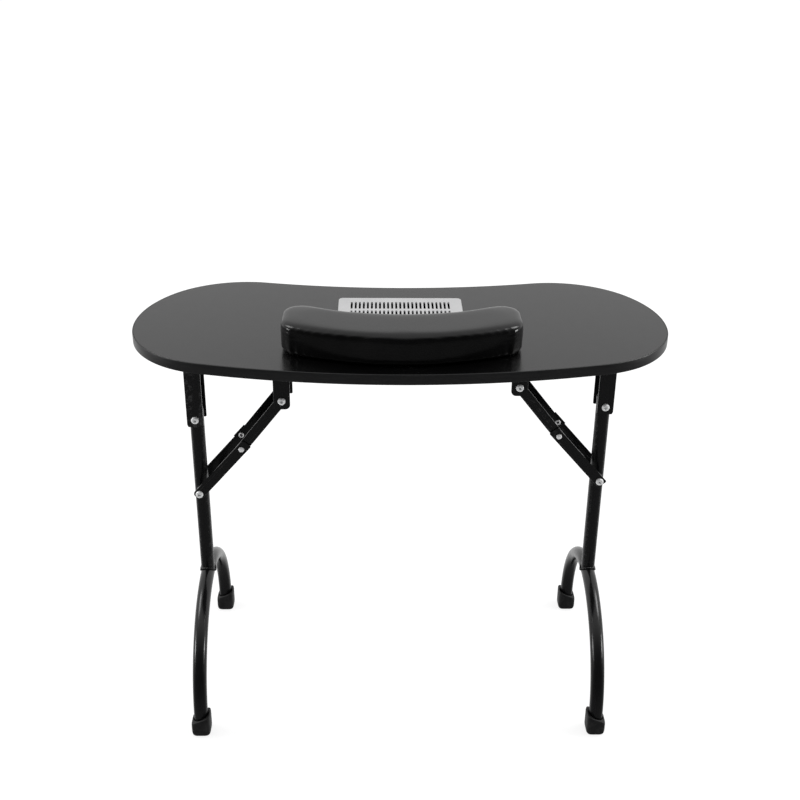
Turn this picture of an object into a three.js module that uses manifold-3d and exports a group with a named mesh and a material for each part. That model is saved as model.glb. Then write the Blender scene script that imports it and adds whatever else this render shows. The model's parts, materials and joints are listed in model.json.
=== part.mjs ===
// Folding manicure table: kidney-shaped top with a dust-collector grille, a crescent wrist cushion
// and two legs that fold flat under the top on over-centre braces.
// Millimetres. +X is the right of someone facing the cushion, +Y points away from them, +Z is up.
// The origin is on the floor under the middle of the table.
import * as THREE from "three";
import { mergeVertices } from "three/addons/utils/BufferGeometryUtils.js";
import Module from "manifold-3d";

const wasm = await Module();
wasm.setup();

// ---------------------------------------------------------------- driving dimensions
const GAP = 0.3; // clearance between neighbouring pieces
const TABLE_HEIGHT = 720;
const BOARD_THICKNESS = 18;
const UNDERSIDE = TABLE_HEIGHT - BOARD_THICKNESS;
const BAND_THICKNESS = 1.5;
const SIDES = { pin: 10, tube: 16, ring: 24, arch: 12, archSteps: 24 }; // facets of the round pieces

// The top's outline is one chain of tangent arcs, given for its right half.
const OUTLINE = {
  frontY: -197.5,
  backY: 177.5,
  frontRadius: 1340,
  frontEnd: degrees(-75.8),
  cornerRadius: 166,
  cornerEnd: degrees(-7.5),
  endRadius: 215,
  endEnd: degrees(37),
  lobeRadius: 166,
};

const GRILLE = {
  width: 218,
  depth: 142,
  corner: 8,
  centreY: 48.5,
  proud: 3,
  lipDepth: 6,
  lipWall: 2,
  slotPitch: 7.125,
  slotsPerRow: 25,
  slotWidth: 3.4,
  slotLength: 31,
  rowPitch: 39.5,
  firstRowY: 84,
  rows: 3,
};
const CUTOUT = { width: 206, depth: 134, corner: 5 };

const HOUSING = { width: 224, depth: 152, height: 26, wall: 2.5, flange: 12, corner: 6, fanHole: 56 };
const HOUSING_SCREW = { shank: 1.6, head: 3.4, headHeight: 2 };
const FAN = {
  size: 120,
  corner: 7,
  depth: 25,
  bore: 57.5,
  hub: 20,
  hubWall: 2,
  motorHeight: 12,
  strutHeight: 3,
  strutWidth: 4,
  blades: 7,
  bladeTip: 55.5,
  bladeChord: 18,
  bladeThickness: 1.6,
  bladePitch: degrees(52),
};
const BAG = { collarHeight: 7, collarOuter: 60, collarInner: 55, height: 21, halfWidth: 92, halfDepth: 64 };

// The controls on the housing's rear face, drop below the housing's top.
const CONTROL_DROP = 13;
const SWITCH = {
  x: 60,
  bezelWidth: 21,
  bezelHeight: 15,
  bezelDepth: 2,
  bodyWidth: 19,
  bodyHeight: 13,
  bodyDepth: 9,
  wellDepth: 5,
};
const ROCKER = {
  halfWidth: 7.6,
  halfHeight: 4.6,
  pivotY: 1.2,
  tilt: degrees(8),
  pressed: 1.6, // the face's ends stand this far in front of the pivot, its middle less
  faceMiddle: 0.7,
  flank: -0.6,
  back: -2.2,
  clearance: 0.8,
};
const INLET = { x: 86, flange: 7, body: 5.5, socket: 3.2, depth: 9, socketFloor: 2, proud: 2, chamfer: 1 };

const CUSHION = {
  length: 391,
  depth: 103,
  frontY: -172,
  bend: 415,
  corner: 34,
  height: 47.5,
  edgeRadius: 9,
  baseThickness: 4,
  baseInset: 3,
  tapeThickness: 1.3,
  tapeLength: 120,
  tapeWidth: 38,
  tapeX: 100,
};

const LEG = {
  x: 358,
  tubeRadius: 12.5,
  tubeWall: 1.5,
  heel: 12,
  archRadius: 190,
  archCentreZ: 30,
  sleeveRadius: 6.8, // the sleeves across the post that its two pins run through
};
const PLUG = { depth: 5, brim: 1, inset: 0.5, domeInset: 2 };
const PIVOT_HEIGHT = { left: 549.2, right: 575.7 };
const FOOT = { halfX: 17, halfY: 18, height: 42, lowSide: 27, floor: 6, squareness: 4.5, boreGap: 0.8 };

// The folding brace of a leg, measured from the leg pivot.
const BRACE = {
  legPinDrop: 143.6, // leg pivot to the brace's pin on the leg
  topPinIn: 153.1, // leg pivot to the brace's pin at the top, towards the table's centre
  topPinUp: 42.7,
  overCentre: 3.2, // how far the knee has passed the straight line
  tail: 8.6, // channel beyond an end pin
};
// The links are wide U channels, and the upper one runs inside the lower one. openEdge and webEdge
// are the distances from the pin line to a channel's open edge and to its web.
const LOWER_LINK = {
  inner: 61,
  wall: 1.8,
  kneeTail: 15.5,
  openEdge: 9.4,
  webEdge: 10.5,
  webFrom: 30,
  webTo: 50,
  startRadius: { left: 7, right: 2.5 },
  endRadius: 4,
};
const UPPER_LINK = {
  outer: 60,
  wall: 1.5,
  kneeTail: 12.5,
  openEdge: 9.3,
  webEdge: 9.9,
  webFrom: 14,
  webTo: 100,
  startRadius: 6,
  endRadius: 7,
};
// A tab on the lower link's rear flange stands out of its open edge, either side of the knee. The
// stop rivet is in the upper link's rear flange, next to the knee.
const STOP_TAB = { before: 18, after: 11, out: 2, root: 3 };
const STOP_RIVET = { past: 6.5, out: 3 };

const LEG_BRACKET = {
  inner: 39,
  wall: 2,
  out: 14.8,
  in: 14.2,
  below: 14,
  webStop: 21, // pin to the web's lower edge
  corner: 2.5,
  rearCorner: 2.5,
  chamferX: 3,
  chamferZ: 4.5,
};
const TOP_BRACKET = {
  inner: 61,
  wall: 2,
  out: 14.5,
  in: 14.5,
  below: 16,
  webStop: 14,
  corner: 9,
  rearCorner: 2.5,
  chamferX: 3,
  chamferZ: 3,
};
const BRACKET_PLATE = { width: 46, lug: 16, corner: 5, thickness: 2 };

const BOLT = {
  shank: 4,
  hole: 4.5,
  head: 6.8,
  headHeight: 4.6,
  recess: 2.6,
  recessDepth: 2.2,
  nutHeight: 6.4,
  nutAcross: 13,
  tail: 2.5,
};
const RIVET = { shank: 2.8, hole: 3.1, head: 5, headHeight: 2.6 };

// ---------------------------------------------------------------- small helpers
function degrees(angle) {
  return (angle * Math.PI) / 180;
}

function material(colour, roughness, metalness) {
  return new THREE.MeshStandardMaterial({ color: colour, roughness, metalness });
}

const finish = {
  laminate: () => material(0x2b2b2d, 0.42, 0),
  band: () => material(0x161617, 0.38, 0),
  silverPlastic: () => material(0xd9dadb, 0.4, 0.1),
  blackPlastic: () => material(0x1c1c1d, 0.5, 0),
  bagCloth: () => material(0x26272a, 0.9, 0),
  leather: () => material(0x101011, 0.3, 0),
  tape: () => material(0x18181a, 0.95, 0),
  wrappedBoard: () => material(0x131314, 0.5, 0),
  blackPaint: () => material(0x141415, 0.32, 0.2),
  rubber: () => material(0x18191a, 0.62, 0),
  zinc: () => material(0xb9bcc0, 0.28, 1),
};

// A closed geometry as a solid that can be joined and cut.
function solidOf(geometry) {
  const bare = geometry.clone();
  bare.deleteAttribute("normal");
  bare.deleteAttribute("uv");
  const merged = mergeVertices(bare, 1e-4);
  const corners = merged.index.array;
  const kept = [];
  for (let i = 0; i < corners.length; i += 3) {
    const [a, b, c] = corners.slice(i, i + 3);
    if (a !== b && b !== c && c !== a) kept.push(a, b, c);
  }
  return new wasm.Manifold(
    new wasm.Mesh({
      numProp: 3,
      vertProperties: new Float32Array(merged.attributes.position.array),
      triVerts: new Uint32Array(kept),
    }),
  );
}

function geometryOf(solid) {
  const mesh = solid.getMesh();
  const geometry = new THREE.BufferGeometry();
  geometry.setAttribute("position", new THREE.BufferAttribute(mesh.vertProperties, 3));
  geometry.setIndex(new THREE.BufferAttribute(mesh.triVerts, 1));
  geometry.computeVertexNormals();
  return geometry;
}

function join(...geometries) {
  return geometryOf(geometries.map(solidOf).reduce((whole, piece) => whole.add(piece)));
}

function cut(geometry, ...tools) {
  return geometryOf(tools.map(solidOf).reduce((whole, tool) => whole.subtract(tool), solidOf(geometry)));
}

function intersect(first, second) {
  return geometryOf(solidOf(first).intersect(solidOf(second)));
}

function mesh(name, geometry, surface) {
  const piece = new THREE.Mesh(geometry, surface);
  piece.name = name;
  return piece;
}

function arcPoints(cx, cy, radius, from, to, steps) {
  const points = [];
  for (let i = 0; i <= steps; i++) {
    const angle = from + ((to - from) * i) / steps;
    points.push(new THREE.Vector2(cx + radius * Math.cos(angle), cy + radius * Math.sin(angle)));
  }
  return points;
}

// A rounded rectangle as a list of points, anticlockwise.
function roundedRectangle(width, height, radius, steps = 4) {
  const cornerX = width / 2 - radius;
  const cornerY = height / 2 - radius;
  return [
    ...arcPoints(cornerX, cornerY, radius, 0, Math.PI / 2, steps),
    ...arcPoints(-cornerX, cornerY, radius, Math.PI / 2, Math.PI, steps),
    ...arcPoints(-cornerX, -cornerY, radius, Math.PI, 1.5 * Math.PI, steps),
    ...arcPoints(cornerX, -cornerY, radius, 1.5 * Math.PI, 2 * Math.PI, steps),
  ];
}

function shapeOf(points, ...holes) {
  const shape = new THREE.Shape(points);
  shape.holes = holes.map((hole) => new THREE.Path(hole));
  return shape;
}

// A flat slab: the shape lies in X and Y, from z to z + height.
function slab(shape, z, height) {
  return new THREE.ExtrudeGeometry(shape, { depth: height, bevelEnabled: false }).translate(0, 0, z);
}

// An upright plate: the shape lies in X and Z, from y to y + thickness.
function plate(shape, y, thickness) {
  const flat = new THREE.ExtrudeGeometry(shape, { depth: thickness, bevelEnabled: false });
  return flat.rotateX(Math.PI / 2).translate(0, y + thickness, 0);
}

function box(x0, x1, y0, y1, z0, z1) {
  const geometry = new THREE.BoxGeometry(x1 - x0, y1 - y0, z1 - z0);
  return geometry.translate((x0 + x1) / 2, (y0 + y1) / 2, (z0 + z1) / 2);
}

// A cylinder along Y through x, z.
function crossCylinder(x, z, radius, halfLength, sides = SIDES.pin) {
  return new THREE.CylinderGeometry(radius, radius, 2 * halfLength, sides).translate(x, 0, z);
}

// A cylinder along Z from z to z + height.
function uprightCylinder(x, y, radius, z, height, sides = SIDES.tube) {
  const geometry = new THREE.CylinderGeometry(radius, radius, height, sides);
  return geometry.rotateX(Math.PI / 2).translate(x, y, z + height / 2);
}

// A turned piece: [radius, height] pairs revolved about Y, listed from the bottom up.
function turned(profile, sides = SIDES.pin) {
  const points = profile.map(([radius, height]) => new THREE.Vector2(radius, height));
  return new THREE.LatheGeometry(points, sides);
}

// ---------------------------------------------------------------- the top
// The outline moved outwards by offset; a negative offset moves it inwards.
function topOutline(offset) {
  const { frontY, backY, frontRadius, cornerRadius, endRadius, lobeRadius } = OUTLINE;
  const { frontEnd, cornerEnd, endEnd } = OUTLINE;
  const step = (centre, distance, angle) => ({
    x: centre.x + distance * Math.cos(angle),
    y: centre.y + distance * Math.sin(angle),
  });
  const front = { x: 0, y: frontY + frontRadius };
  const corner = step(front, frontRadius - cornerRadius, frontEnd);
  const end = step(corner, cornerRadius - endRadius, cornerEnd);
  const lobe = step(end, endRadius - lobeRadius, endEnd);
  const rise = backY - lobe.y;
  const backRadius = (lobe.x ** 2 + rise ** 2 - lobeRadius ** 2) / (2 * (lobeRadius - rise));
  const lobeEnd = Math.PI - Math.atan2(rise + backRadius, lobe.x);
  const down = -Math.PI / 2;
  const right = [
    ...arcPoints(front.x, front.y, frontRadius + offset, down, frontEnd, 4),
    ...arcPoints(corner.x, corner.y, cornerRadius + offset, frontEnd, cornerEnd, 9).slice(1),
    ...arcPoints(end.x, end.y, endRadius + offset, cornerEnd, endEnd, 6).slice(1),
    ...arcPoints(lobe.x, lobe.y, lobeRadius + offset, endEnd, lobeEnd, 10).slice(1),
    ...arcPoints(0, backY + backRadius, backRadius - offset, lobeEnd - Math.PI, down, 5).slice(1),
  ];
  const left = right.slice(1, -1).map((point) => new THREE.Vector2(-point.x, point.y));
  return [...right, ...left.reverse()];
}

function placed(points, x, y) {
  return points.map((point) => new THREE.Vector2(point.x + x, point.y + y));
}

function buildTop() {
  const boardEdge = topOutline(-BAND_THICKNESS - GAP);
  const bandInner = topOutline(-BAND_THICKNESS);
  const cutout = placed(roundedRectangle(CUTOUT.width, CUTOUT.depth, CUTOUT.corner), 0, GRILLE.centreY);
  const board = slab(shapeOf(boardEdge, cutout), UNDERSIDE, BOARD_THICKNESS);
  const band = slab(shapeOf(topOutline(0), bandInner), UNDERSIDE, BOARD_THICKNESS);
  const top = new THREE.Group();
  top.add(mesh("tabletop_board", board, finish.laminate()));
  top.add(mesh("edge_band", band, finish.band()));
  return top;
}

function grilleSlots() {
  const slots = [];
  const halfWidth = GRILLE.slotWidth / 2;
  const tip = GRILLE.slotLength / 2;
  const shoulder = tip - 1;
  const slot = [
    new THREE.Vector2(0, -tip),
    new THREE.Vector2(halfWidth, -shoulder),
    new THREE.Vector2(halfWidth, shoulder),
    new THREE.Vector2(0, tip),
    new THREE.Vector2(-halfWidth, shoulder),
    new THREE.Vector2(-halfWidth, -shoulder),
  ];
  for (let row = 0; row < GRILLE.rows; row++) {
    const y = GRILLE.firstRowY - row * GRILLE.rowPitch;
    for (let i = 0; i < GRILLE.slotsPerRow; i++) {
      const x = (i - (GRILLE.slotsPerRow - 1) / 2) * GRILLE.slotPitch;
      slots.push(placed(slot, x, y));
    }
  }
  return slots;
}

function buildGrille() {
  const rim = placed(roundedRectangle(GRILLE.width, GRILLE.depth, GRILLE.corner), 0, GRILLE.centreY);
  const face = slab(shapeOf(rim, ...grilleSlots()), TABLE_HEIGHT + GAP, GRILLE.proud - GAP);
  const lipWidth = CUTOUT.width - 2 * GAP;
  const lipDepth = CUTOUT.depth - 2 * GAP;
  const innerWidth = lipWidth - 2 * GRILLE.lipWall;
  const innerDepth = lipDepth - 2 * GRILLE.lipWall;
  const lipOuter = placed(roundedRectangle(lipWidth, lipDepth, CUTOUT.corner), 0, GRILLE.centreY);
  const lipInner = placed(roundedRectangle(innerWidth, innerDepth, 3), 0, GRILLE.centreY);
  const lipBottom = TABLE_HEIGHT - GRILLE.lipDepth;
  const lip = slab(shapeOf(lipOuter, lipInner), lipBottom, GRILLE.lipDepth + 1);
  return mesh("grille", join(face, lip), finish.silverPlastic());
}

// ---------------------------------------------------------------- the dust collector
const HOUSING_TOP = UNDERSIDE - GAP;
const HOUSING_BOTTOM = HOUSING_TOP - HOUSING.height;
const FAN_TOP = HOUSING_BOTTOM - GAP;
const FAN_BOTTOM = FAN_TOP - FAN.depth;
const COLLAR_BOTTOM = FAN_BOTTOM - GAP - BAG.collarHeight;
const CONTROL_Z = HOUSING_TOP - CONTROL_DROP;
const HOUSING_REAR = GRILLE.centreY + HOUSING.depth / 2;

function buildHousing() {
  const { width, depth, height, wall, flange, corner, fanHole } = HOUSING;
  const centreY = GRILLE.centreY;
  const outer = placed(roundedRectangle(width, depth, corner), 0, centreY);
  const inner = placed(roundedRectangle(width - 2 * wall, depth - 2 * wall, corner - wall), 0, centreY);
  const rim = placed(roundedRectangle(width + 2 * flange, depth + 2 * flange, corner), 0, centreY);
  const fanOpening = arcPoints(0, centreY, fanHole, 0, 2 * Math.PI, SIDES.ring).slice(0, -1);
  const geometry = join(
    slab(shapeOf(outer, inner), HOUSING_BOTTOM, height),
    slab(shapeOf(outer, fanOpening), HOUSING_BOTTOM, wall),
    slab(shapeOf(rim, inner), HOUSING_TOP - wall, wall),
  );
  const halfBezel = SWITCH.bodyWidth / 2 + GAP;
  const halfHeight = SWITCH.bodyHeight / 2 + GAP;
  const rear = HOUSING_REAR;
  const switchHole = box(
    SWITCH.x - halfBezel,
    SWITCH.x + halfBezel,
    rear - 2 * wall,
    rear + wall,
    CONTROL_Z - halfHeight,
    CONTROL_Z + halfHeight,
  );
  const inletHole = crossCylinder(INLET.x, CONTROL_Z, INLET.body + GAP, 2 * wall).translate(0, rear, 0);
  return mesh("collector_housing", cut(geometry, switchHole, inletHole), finish.blackPlastic());
}

// Pan-head screws that hold the housing's flange; each stops short of the board.
function buildHousingScrews() {
  const screws = new THREE.Group();
  const { shank, head, headHeight } = HOUSING_SCREW;
  const top = HOUSING_TOP - HOUSING.wall - GAP;
  const x = (HOUSING.width + HOUSING.flange) / 2;
  const y = (HOUSING.depth + HOUSING.flange) / 2;
  const profile = [
    [0, 0],
    [head * 0.6, 0],
    [head, headHeight * 0.6],
    [head, headHeight],
    [0, headHeight],
  ];
  let number = 1;
  for (const [sx, sy] of [[-1, -1], [1, -1], [1, 1], [-1, 1]]) {
    const pan = turned(profile).rotateX(Math.PI / 2);
    const slot = box(-head, head, -shank / 3, shank / 3, -1, headHeight * 0.4);
    const screw = mesh(`housing_screw_${number}`, cut(pan, slot), finish.zinc());
    screw.position.set(sx * x, GRILLE.centreY + sy * y, top - headHeight);
    screws.add(screw);
    number += 1;
  }
  return screws;
}

function buildFan() {
  const { size, corner, depth, bore, hub, hubWall, motorHeight, strutHeight, strutWidth } = FAN;
  const { blades, bladeTip, bladeChord, bladeThickness, bladePitch } = FAN;
  const outline = roundedRectangle(size, size, corner);
  const opening = arcPoints(0, 0, bore, 0, 2 * Math.PI, SIDES.ring).slice(0, -1);
  const struts = [];
  for (let i = 0; i < 4; i++) {
    const arm = box(hub - hubWall, bore + 1, -strutWidth / 2, strutWidth / 2, 0, strutHeight);
    struts.push(arm.rotateZ(degrees(45 + 90 * i)));
  }
  const frame = join(
    slab(shapeOf(outline, opening), 0, depth),
    uprightCylinder(0, 0, hub + 1, 0, strutHeight),
    ...struts,
  );
  const motor = uprightCylinder(0, 0, hub - 2 * hubWall, strutHeight + GAP, motorHeight);
  const rotorBottom = strutHeight + 1;
  const rotorHeight = depth - rotorBottom - 1.5;
  const cap = uprightCylinder(0, 0, hub, rotorBottom, rotorHeight);
  const hollow = uprightCylinder(0, 0, hub - hubWall, rotorBottom - 1, motorHeight + 2);
  const halfBlade = bladeThickness / 2;
  const fins = [];
  for (let i = 0; i < blades; i++) {
    const fin = box(hub - 1, bladeTip, -halfBlade, halfBlade, -bladeChord / 2, bladeChord / 2);
    fin.rotateX(bladePitch).translate(0, 0, rotorBottom + rotorHeight / 2);
    fins.push(fin.rotateZ((i * 2 * Math.PI) / blades));
  }
  const rotor = cut(join(cap, ...fins), hollow);
  const fan = new THREE.Group();
  fan.position.set(0, GRILLE.centreY, FAN_BOTTOM);
  fan.add(mesh("fan_frame", frame, finish.blackPlastic()));
  fan.add(mesh("fan_motor", motor, finish.blackPlastic()));
  fan.add(mesh("fan_rotor", rotor, finish.blackPlastic()));
  return fan;
}

function buildDustBag() {
  const { collarHeight, collarOuter, collarInner, height, halfWidth, halfDepth } = BAG;
  const ring = (radius) => arcPoints(0, 0, radius, 0, 2 * Math.PI, SIDES.ring).slice(0, -1);
  const collar = slab(shapeOf(ring(collarOuter), ring(collarInner)), COLLAR_BOTTOM, collarHeight);
  const pillow = [
    [0, 0],
    [0.7, 0],
    [0.9, 0.16],
    [1, 0.45],
    [0.93, 0.78],
    [0.66, 1],
    [0, 1],
  ].map(([radius, level]) => [radius * halfWidth, level * height]);
  const bag = turned(pillow, SIDES.ring).rotateX(Math.PI / 2).scale(1, halfDepth / halfWidth, 1);
  const group = new THREE.Group();
  group.position.set(0, GRILLE.centreY, 0);
  group.add(mesh("bag_collar", collar, finish.blackPlastic()));
  group.add(mesh("dust_bag", bag.translate(0, 0, COLLAR_BOTTOM - GAP - height), finish.bagCloth()));
  return group;
}

function buildSwitch() {
  const { bezelWidth, bezelHeight, bezelDepth, bodyWidth, bodyHeight, bodyDepth, wellDepth } = SWITCH;
  const { halfWidth, halfHeight, pressed, faceMiddle, flank, back, clearance } = ROCKER;
  const bezel = plate(shapeOf(roundedRectangle(bezelWidth, bezelHeight, 2)), 0, bezelDepth);
  const body = plate(shapeOf(roundedRectangle(bodyWidth, bodyHeight, 1)), -bodyDepth, bodyDepth + 1);
  const wellX = halfWidth + clearance;
  const wellZ = halfHeight + clearance;
  const well = box(-wellX, wellX, -wellDepth, bezelDepth + 1, -wellZ, wellZ);
  const side = [
    [-halfWidth, pressed],
    [-halfWidth, flank],
    [-halfWidth / 2, back],
    [halfWidth / 2, back],
    [halfWidth, flank],
    [halfWidth, pressed],
    [0, faceMiddle],
  ].map(([x, y]) => new THREE.Vector2(x, y));
  const rockerBody = slab(shapeOf(side), -halfHeight, 2 * halfHeight);
  const rocker = mesh("switch_rocker", rockerBody, finish.blackPlastic());
  rocker.position.set(0, ROCKER.pivotY, 0);
  rocker.rotation.z = ROCKER.tilt;
  const group = new THREE.Group();
  group.add(mesh("switch_bezel", cut(join(bezel, body), well), finish.blackPlastic()), rocker);
  return group;
}

function buildInlet() {
  const { flange, body, socket, depth, socketFloor, proud, chamfer } = INLET;
  const jack = turned([
    [0, -depth],
    [body, -depth],
    [body, 0],
    [flange, 0],
    [flange, proud - chamfer],
    [flange - chamfer, proud],
    [0, proud],
  ]);
  const opening = turned([
    [0, socketFloor - depth],
    [socket, socketFloor - depth],
    [socket, proud + 1],
    [0, proud + 1],
  ]);
  return mesh("power_inlet", cut(jack, opening), finish.blackPlastic());
}

// The controls face the rear, where the technician sits.
function buildControls() {
  const controls = new THREE.Group();
  controls.position.set(0, HOUSING_REAR + GAP, CONTROL_Z);
  const rockerSwitch = buildSwitch();
  rockerSwitch.position.x = SWITCH.x;
  const inlet = buildInlet();
  inlet.position.x = INLET.x;
  controls.add(rockerSwitch, inlet);
  return controls;
}

// ---------------------------------------------------------------- the wrist cushion
// A rounded rectangle whose long sides follow the bend of the cushion.
function crescent(length, depth, corner, steps) {
  const points = roundedRectangle(length, depth, corner, steps);
  const straight = length / 2 - corner;
  const full = [];
  points.forEach((point, i) => {
    full.push(point);
    const next = points[(i + 1) % points.length];
    if (Math.abs(next.x - point.x) < 1.5 * straight) return;
    const pieces = 8;
    for (let k = 1; k < pieces; k++) full.push(point.clone().lerp(next, k / pieces));
  });
  const centreY = CUSHION.frontY + CUSHION.depth / 2;
  return full.map(({ x, y }) => {
    const sagitta = CUSHION.bend - Math.sqrt(CUSHION.bend ** 2 - x ** 2);
    return new THREE.Vector2(x, y + centreY + sagitta);
  });
}

function buildCushion() {
  const { length, depth, corner, height, edgeRadius, baseThickness, baseInset, tapeThickness } = CUSHION;
  const cushion = new THREE.Group();
  const loopZ = TABLE_HEIGHT + GAP;
  const hookZ = loopZ + tapeThickness + GAP;
  const baseZ = hookZ + tapeThickness + GAP;
  const padZ = baseZ + baseThickness + GAP;
  for (const [side, sign] of [["left", -1], ["right", 1]]) {
    const tape = roundedRectangle(CUSHION.tapeLength, CUSHION.tapeWidth, 4);
    const centreY = CUSHION.frontY + depth / 2;
    const sagitta = CUSHION.bend - Math.sqrt(CUSHION.bend ** 2 - CUSHION.tapeX ** 2);
    const strip = shapeOf(placed(tape, sign * CUSHION.tapeX, centreY + sagitta));
    cushion.add(mesh(`loop_tape_${side}`, slab(strip, loopZ, tapeThickness), finish.tape()));
    cushion.add(mesh(`hook_tape_${side}`, slab(strip, hookZ, tapeThickness), finish.tape()));
  }
  const baseOutline = crescent(length - 2 * baseInset, depth - 2 * baseInset, corner - baseInset, 4);
  cushion.add(mesh("cushion_base", slab(shapeOf(baseOutline), baseZ, baseThickness), finish.wrappedBoard()));
  const padOutline = crescent(length - 2 * edgeRadius, depth - 2 * edgeRadius, corner - edgeRadius, 4);
  const pad = new THREE.ExtrudeGeometry(shapeOf(padOutline), {
    depth: height - 2 * edgeRadius,
    bevelEnabled: true,
    bevelThickness: edgeRadius,
    bevelSize: edgeRadius,
    bevelSegments: 3,
  });
  cushion.add(mesh("cushion_pad", pad.translate(0, 0, padZ + edgeRadius), finish.leather()));
  return cushion;
}

// ---------------------------------------------------------------- legs
// The centreline of the foot arch: up from one foot, over a half circle, down to the other.
class ArchCurve extends THREE.Curve {
  constructor(bottomZ) {
    super();
    this.straight = LEG.archCentreZ - bottomZ;
    this.bottomZ = bottomZ;
  }

  getPoint(t, target = new THREE.Vector3()) {
    const bend = Math.PI * LEG.archRadius;
    const travelled = t * (2 * this.straight + bend);
    if (travelled < this.straight) return target.set(0, -LEG.archRadius, this.bottomZ + travelled);
    if (travelled > this.straight + bend) {
      const descent = travelled - this.straight - bend;
      return target.set(0, LEG.archRadius, LEG.archCentreZ - descent);
    }
    const angle = Math.PI - (travelled - this.straight) / LEG.archRadius;
    const y = LEG.archRadius * Math.cos(angle);
    return target.set(0, y, LEG.archCentreZ + LEG.archRadius * Math.sin(angle));
  }
}

function tubeSection(radius, bore, sides) {
  const circle = (r, count) => arcPoints(0, 0, r, 0, 2 * Math.PI, count).slice(0, -1);
  return bore > 0 ? shapeOf(circle(radius, sides), circle(bore, sides)) : shapeOf(circle(radius, sides));
}

function archTube(radius, bore, bottomZ) {
  const section = tubeSection(radius, bore, SIDES.arch);
  const extrudePath = new ArchCurve(bottomZ);
  return new THREE.ExtrudeGeometry(section, { steps: SIDES.archSteps, extrudePath });
}

// A rounded-square rubber foot whose rim is higher on the side that faces the table's centre.
function footGeometry(side) {
  const { halfX, halfY, height, lowSide, floor, squareness, boreGap } = FOOT;
  const profile = [
    [0, 0],
    [0.8, 0],
    [0.93, 0.04 * height],
    [1, 0.18 * height],
    [1, 0.6 * height],
    [0.94, 0.92 * height],
    [0.9, height],
    [0, height],
  ];
  const geometry = turned(profile, SIDES.ring).rotateX(Math.PI / 2);
  const position = geometry.getAttribute("position");
  for (let i = 0; i < position.count; i++) {
    const x = position.getX(i);
    const y = position.getY(i);
    const radius = Math.hypot(x, y);
    if (radius < 1e-6) continue;
    const power = Math.abs(x / radius) ** squareness + Math.abs(y / radius) ** squareness;
    const stretch = power ** (-1 / squareness);
    position.setX(i, x * stretch * halfX);
    position.setY(i, y * stretch * halfY);
  }
  const bore = uprightCylinder(0, 0, LEG.tubeRadius + boreGap, floor, height);
  const tilt = Math.atan2(height - lowSide, 2 * halfX);
  const slice = box(-60, 60, -60, 60, 0, 60).rotateY(side * tilt);
  slice.translate(0, 0, (height + lowSide) / 2);
  return cut(geometry, bore, slice);
}

// The moulded plug in the top of a leg post.
function plugGeometry(bore) {
  const { depth, brim, inset, domeInset } = PLUG;
  const edge = LEG.tubeRadius - inset;
  const profile = [
    [0, 0],
    [bore, 0],
    [bore, depth],
    [edge, depth],
    [edge, depth + brim],
    [edge + inset - domeInset, depth + 2 * brim],
    [0, depth + 2 * brim],
  ];
  return turned(profile, SIDES.tube).rotateX(Math.PI / 2);
}

function hole(x, z, radius = BOLT.hole) {
  return crossCylinder(x, z, radius, 60);
}

// The cross-section of a U channel: width across, open towards positive depth.
function channelSection(width, depth, wall, bend = 3) {
  const half = width / 2;
  const innerBend = Math.max(bend - wall, 0.6);
  return [
    new THREE.Vector2(-half, depth),
    ...arcPoints(-half + bend, bend, bend, Math.PI, 1.5 * Math.PI, 2),
    ...arcPoints(half - bend, bend, bend, -Math.PI / 2, 0, 2),
    new THREE.Vector2(half, depth),
    new THREE.Vector2(half - wall, depth),
    ...arcPoints(half - wall - innerBend, wall + innerBend, innerBend, 0, -Math.PI / 2, 2),
    ...arcPoints(-half + wall + innerBend, wall + innerBend, innerBend, -Math.PI / 2, -Math.PI, 2),
    new THREE.Vector2(-half + wall, depth),
  ];
}

// A U channel standing upright. web is the x of its closed side and inward the way it opens.
function uprightChannel(width, wall, web, open, z0, z1) {
  const inward = Math.sign(open - web);
  const section = channelSection(width, Math.abs(open - web), wall);
  const plan = section.map(({ x, y }) => new THREE.Vector2(web + inward * y, x));
  return slab(shapeOf(plan), z0, z1 - z0);
}

// The screwed plate on top of a bracket. It stands out by a lug in front of and behind its channel.
function bracketPlate(centreX, channelWidth) {
  const { width, lug, corner, thickness } = BRACKET_PLATE;
  const outline = placed(roundedRectangle(width, channelWidth + 2 * lug, corner), centreX, 0);
  return slab(shapeOf(outline), UNDERSIDE - GAP - thickness, thickness);
}

// A channel bracket hanging from its plate and drilled for a pin. side is -1 left of the table's
// centre and +1 right of it. The web faces the table's end and the open side faces the centre. Both
// flanges are chamfered below the web, and their corners below the open side are rounded.
function channelBracket(size, side, pinX, pinZ) {
  const { inner, wall, below, webStop, chamferX, chamferZ } = size;
  const web = pinX + side * size.out;
  const open = pinX - side * size.in;
  const top = UNDERSIDE - GAP;
  const bottom = pinZ - below;
  const width = inner + 2 * wall;
  const roundEnd = side < 0 ? 0 : -Math.PI;
  const outline = (corner) =>
    shapeOf([
      new THREE.Vector2(web, top),
      new THREE.Vector2(web, bottom + chamferZ),
      new THREE.Vector2(web - side * chamferX, bottom),
      ...arcPoints(open + side * corner, bottom + corner, corner, -Math.PI / 2, roundEnd, 5),
      new THREE.Vector2(open, top),
    ]);
  const front = plate(outline(size.corner), -inner, inner);
  const rear = plate(outline(size.rearCorner), 0, inner);
  const channel = uprightChannel(width, wall, web, open, bottom - 10, top);
  const flanges = intersect(channel, join(front, rear));
  const webCut = box(web - 2 * wall, web + 2 * wall, -inner / 2, inner / 2, bottom - 1, pinZ + webStop);
  return join(cut(flanges, webCut, hole(pinX, pinZ)), bracketPlate(pinX, width));
}

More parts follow.
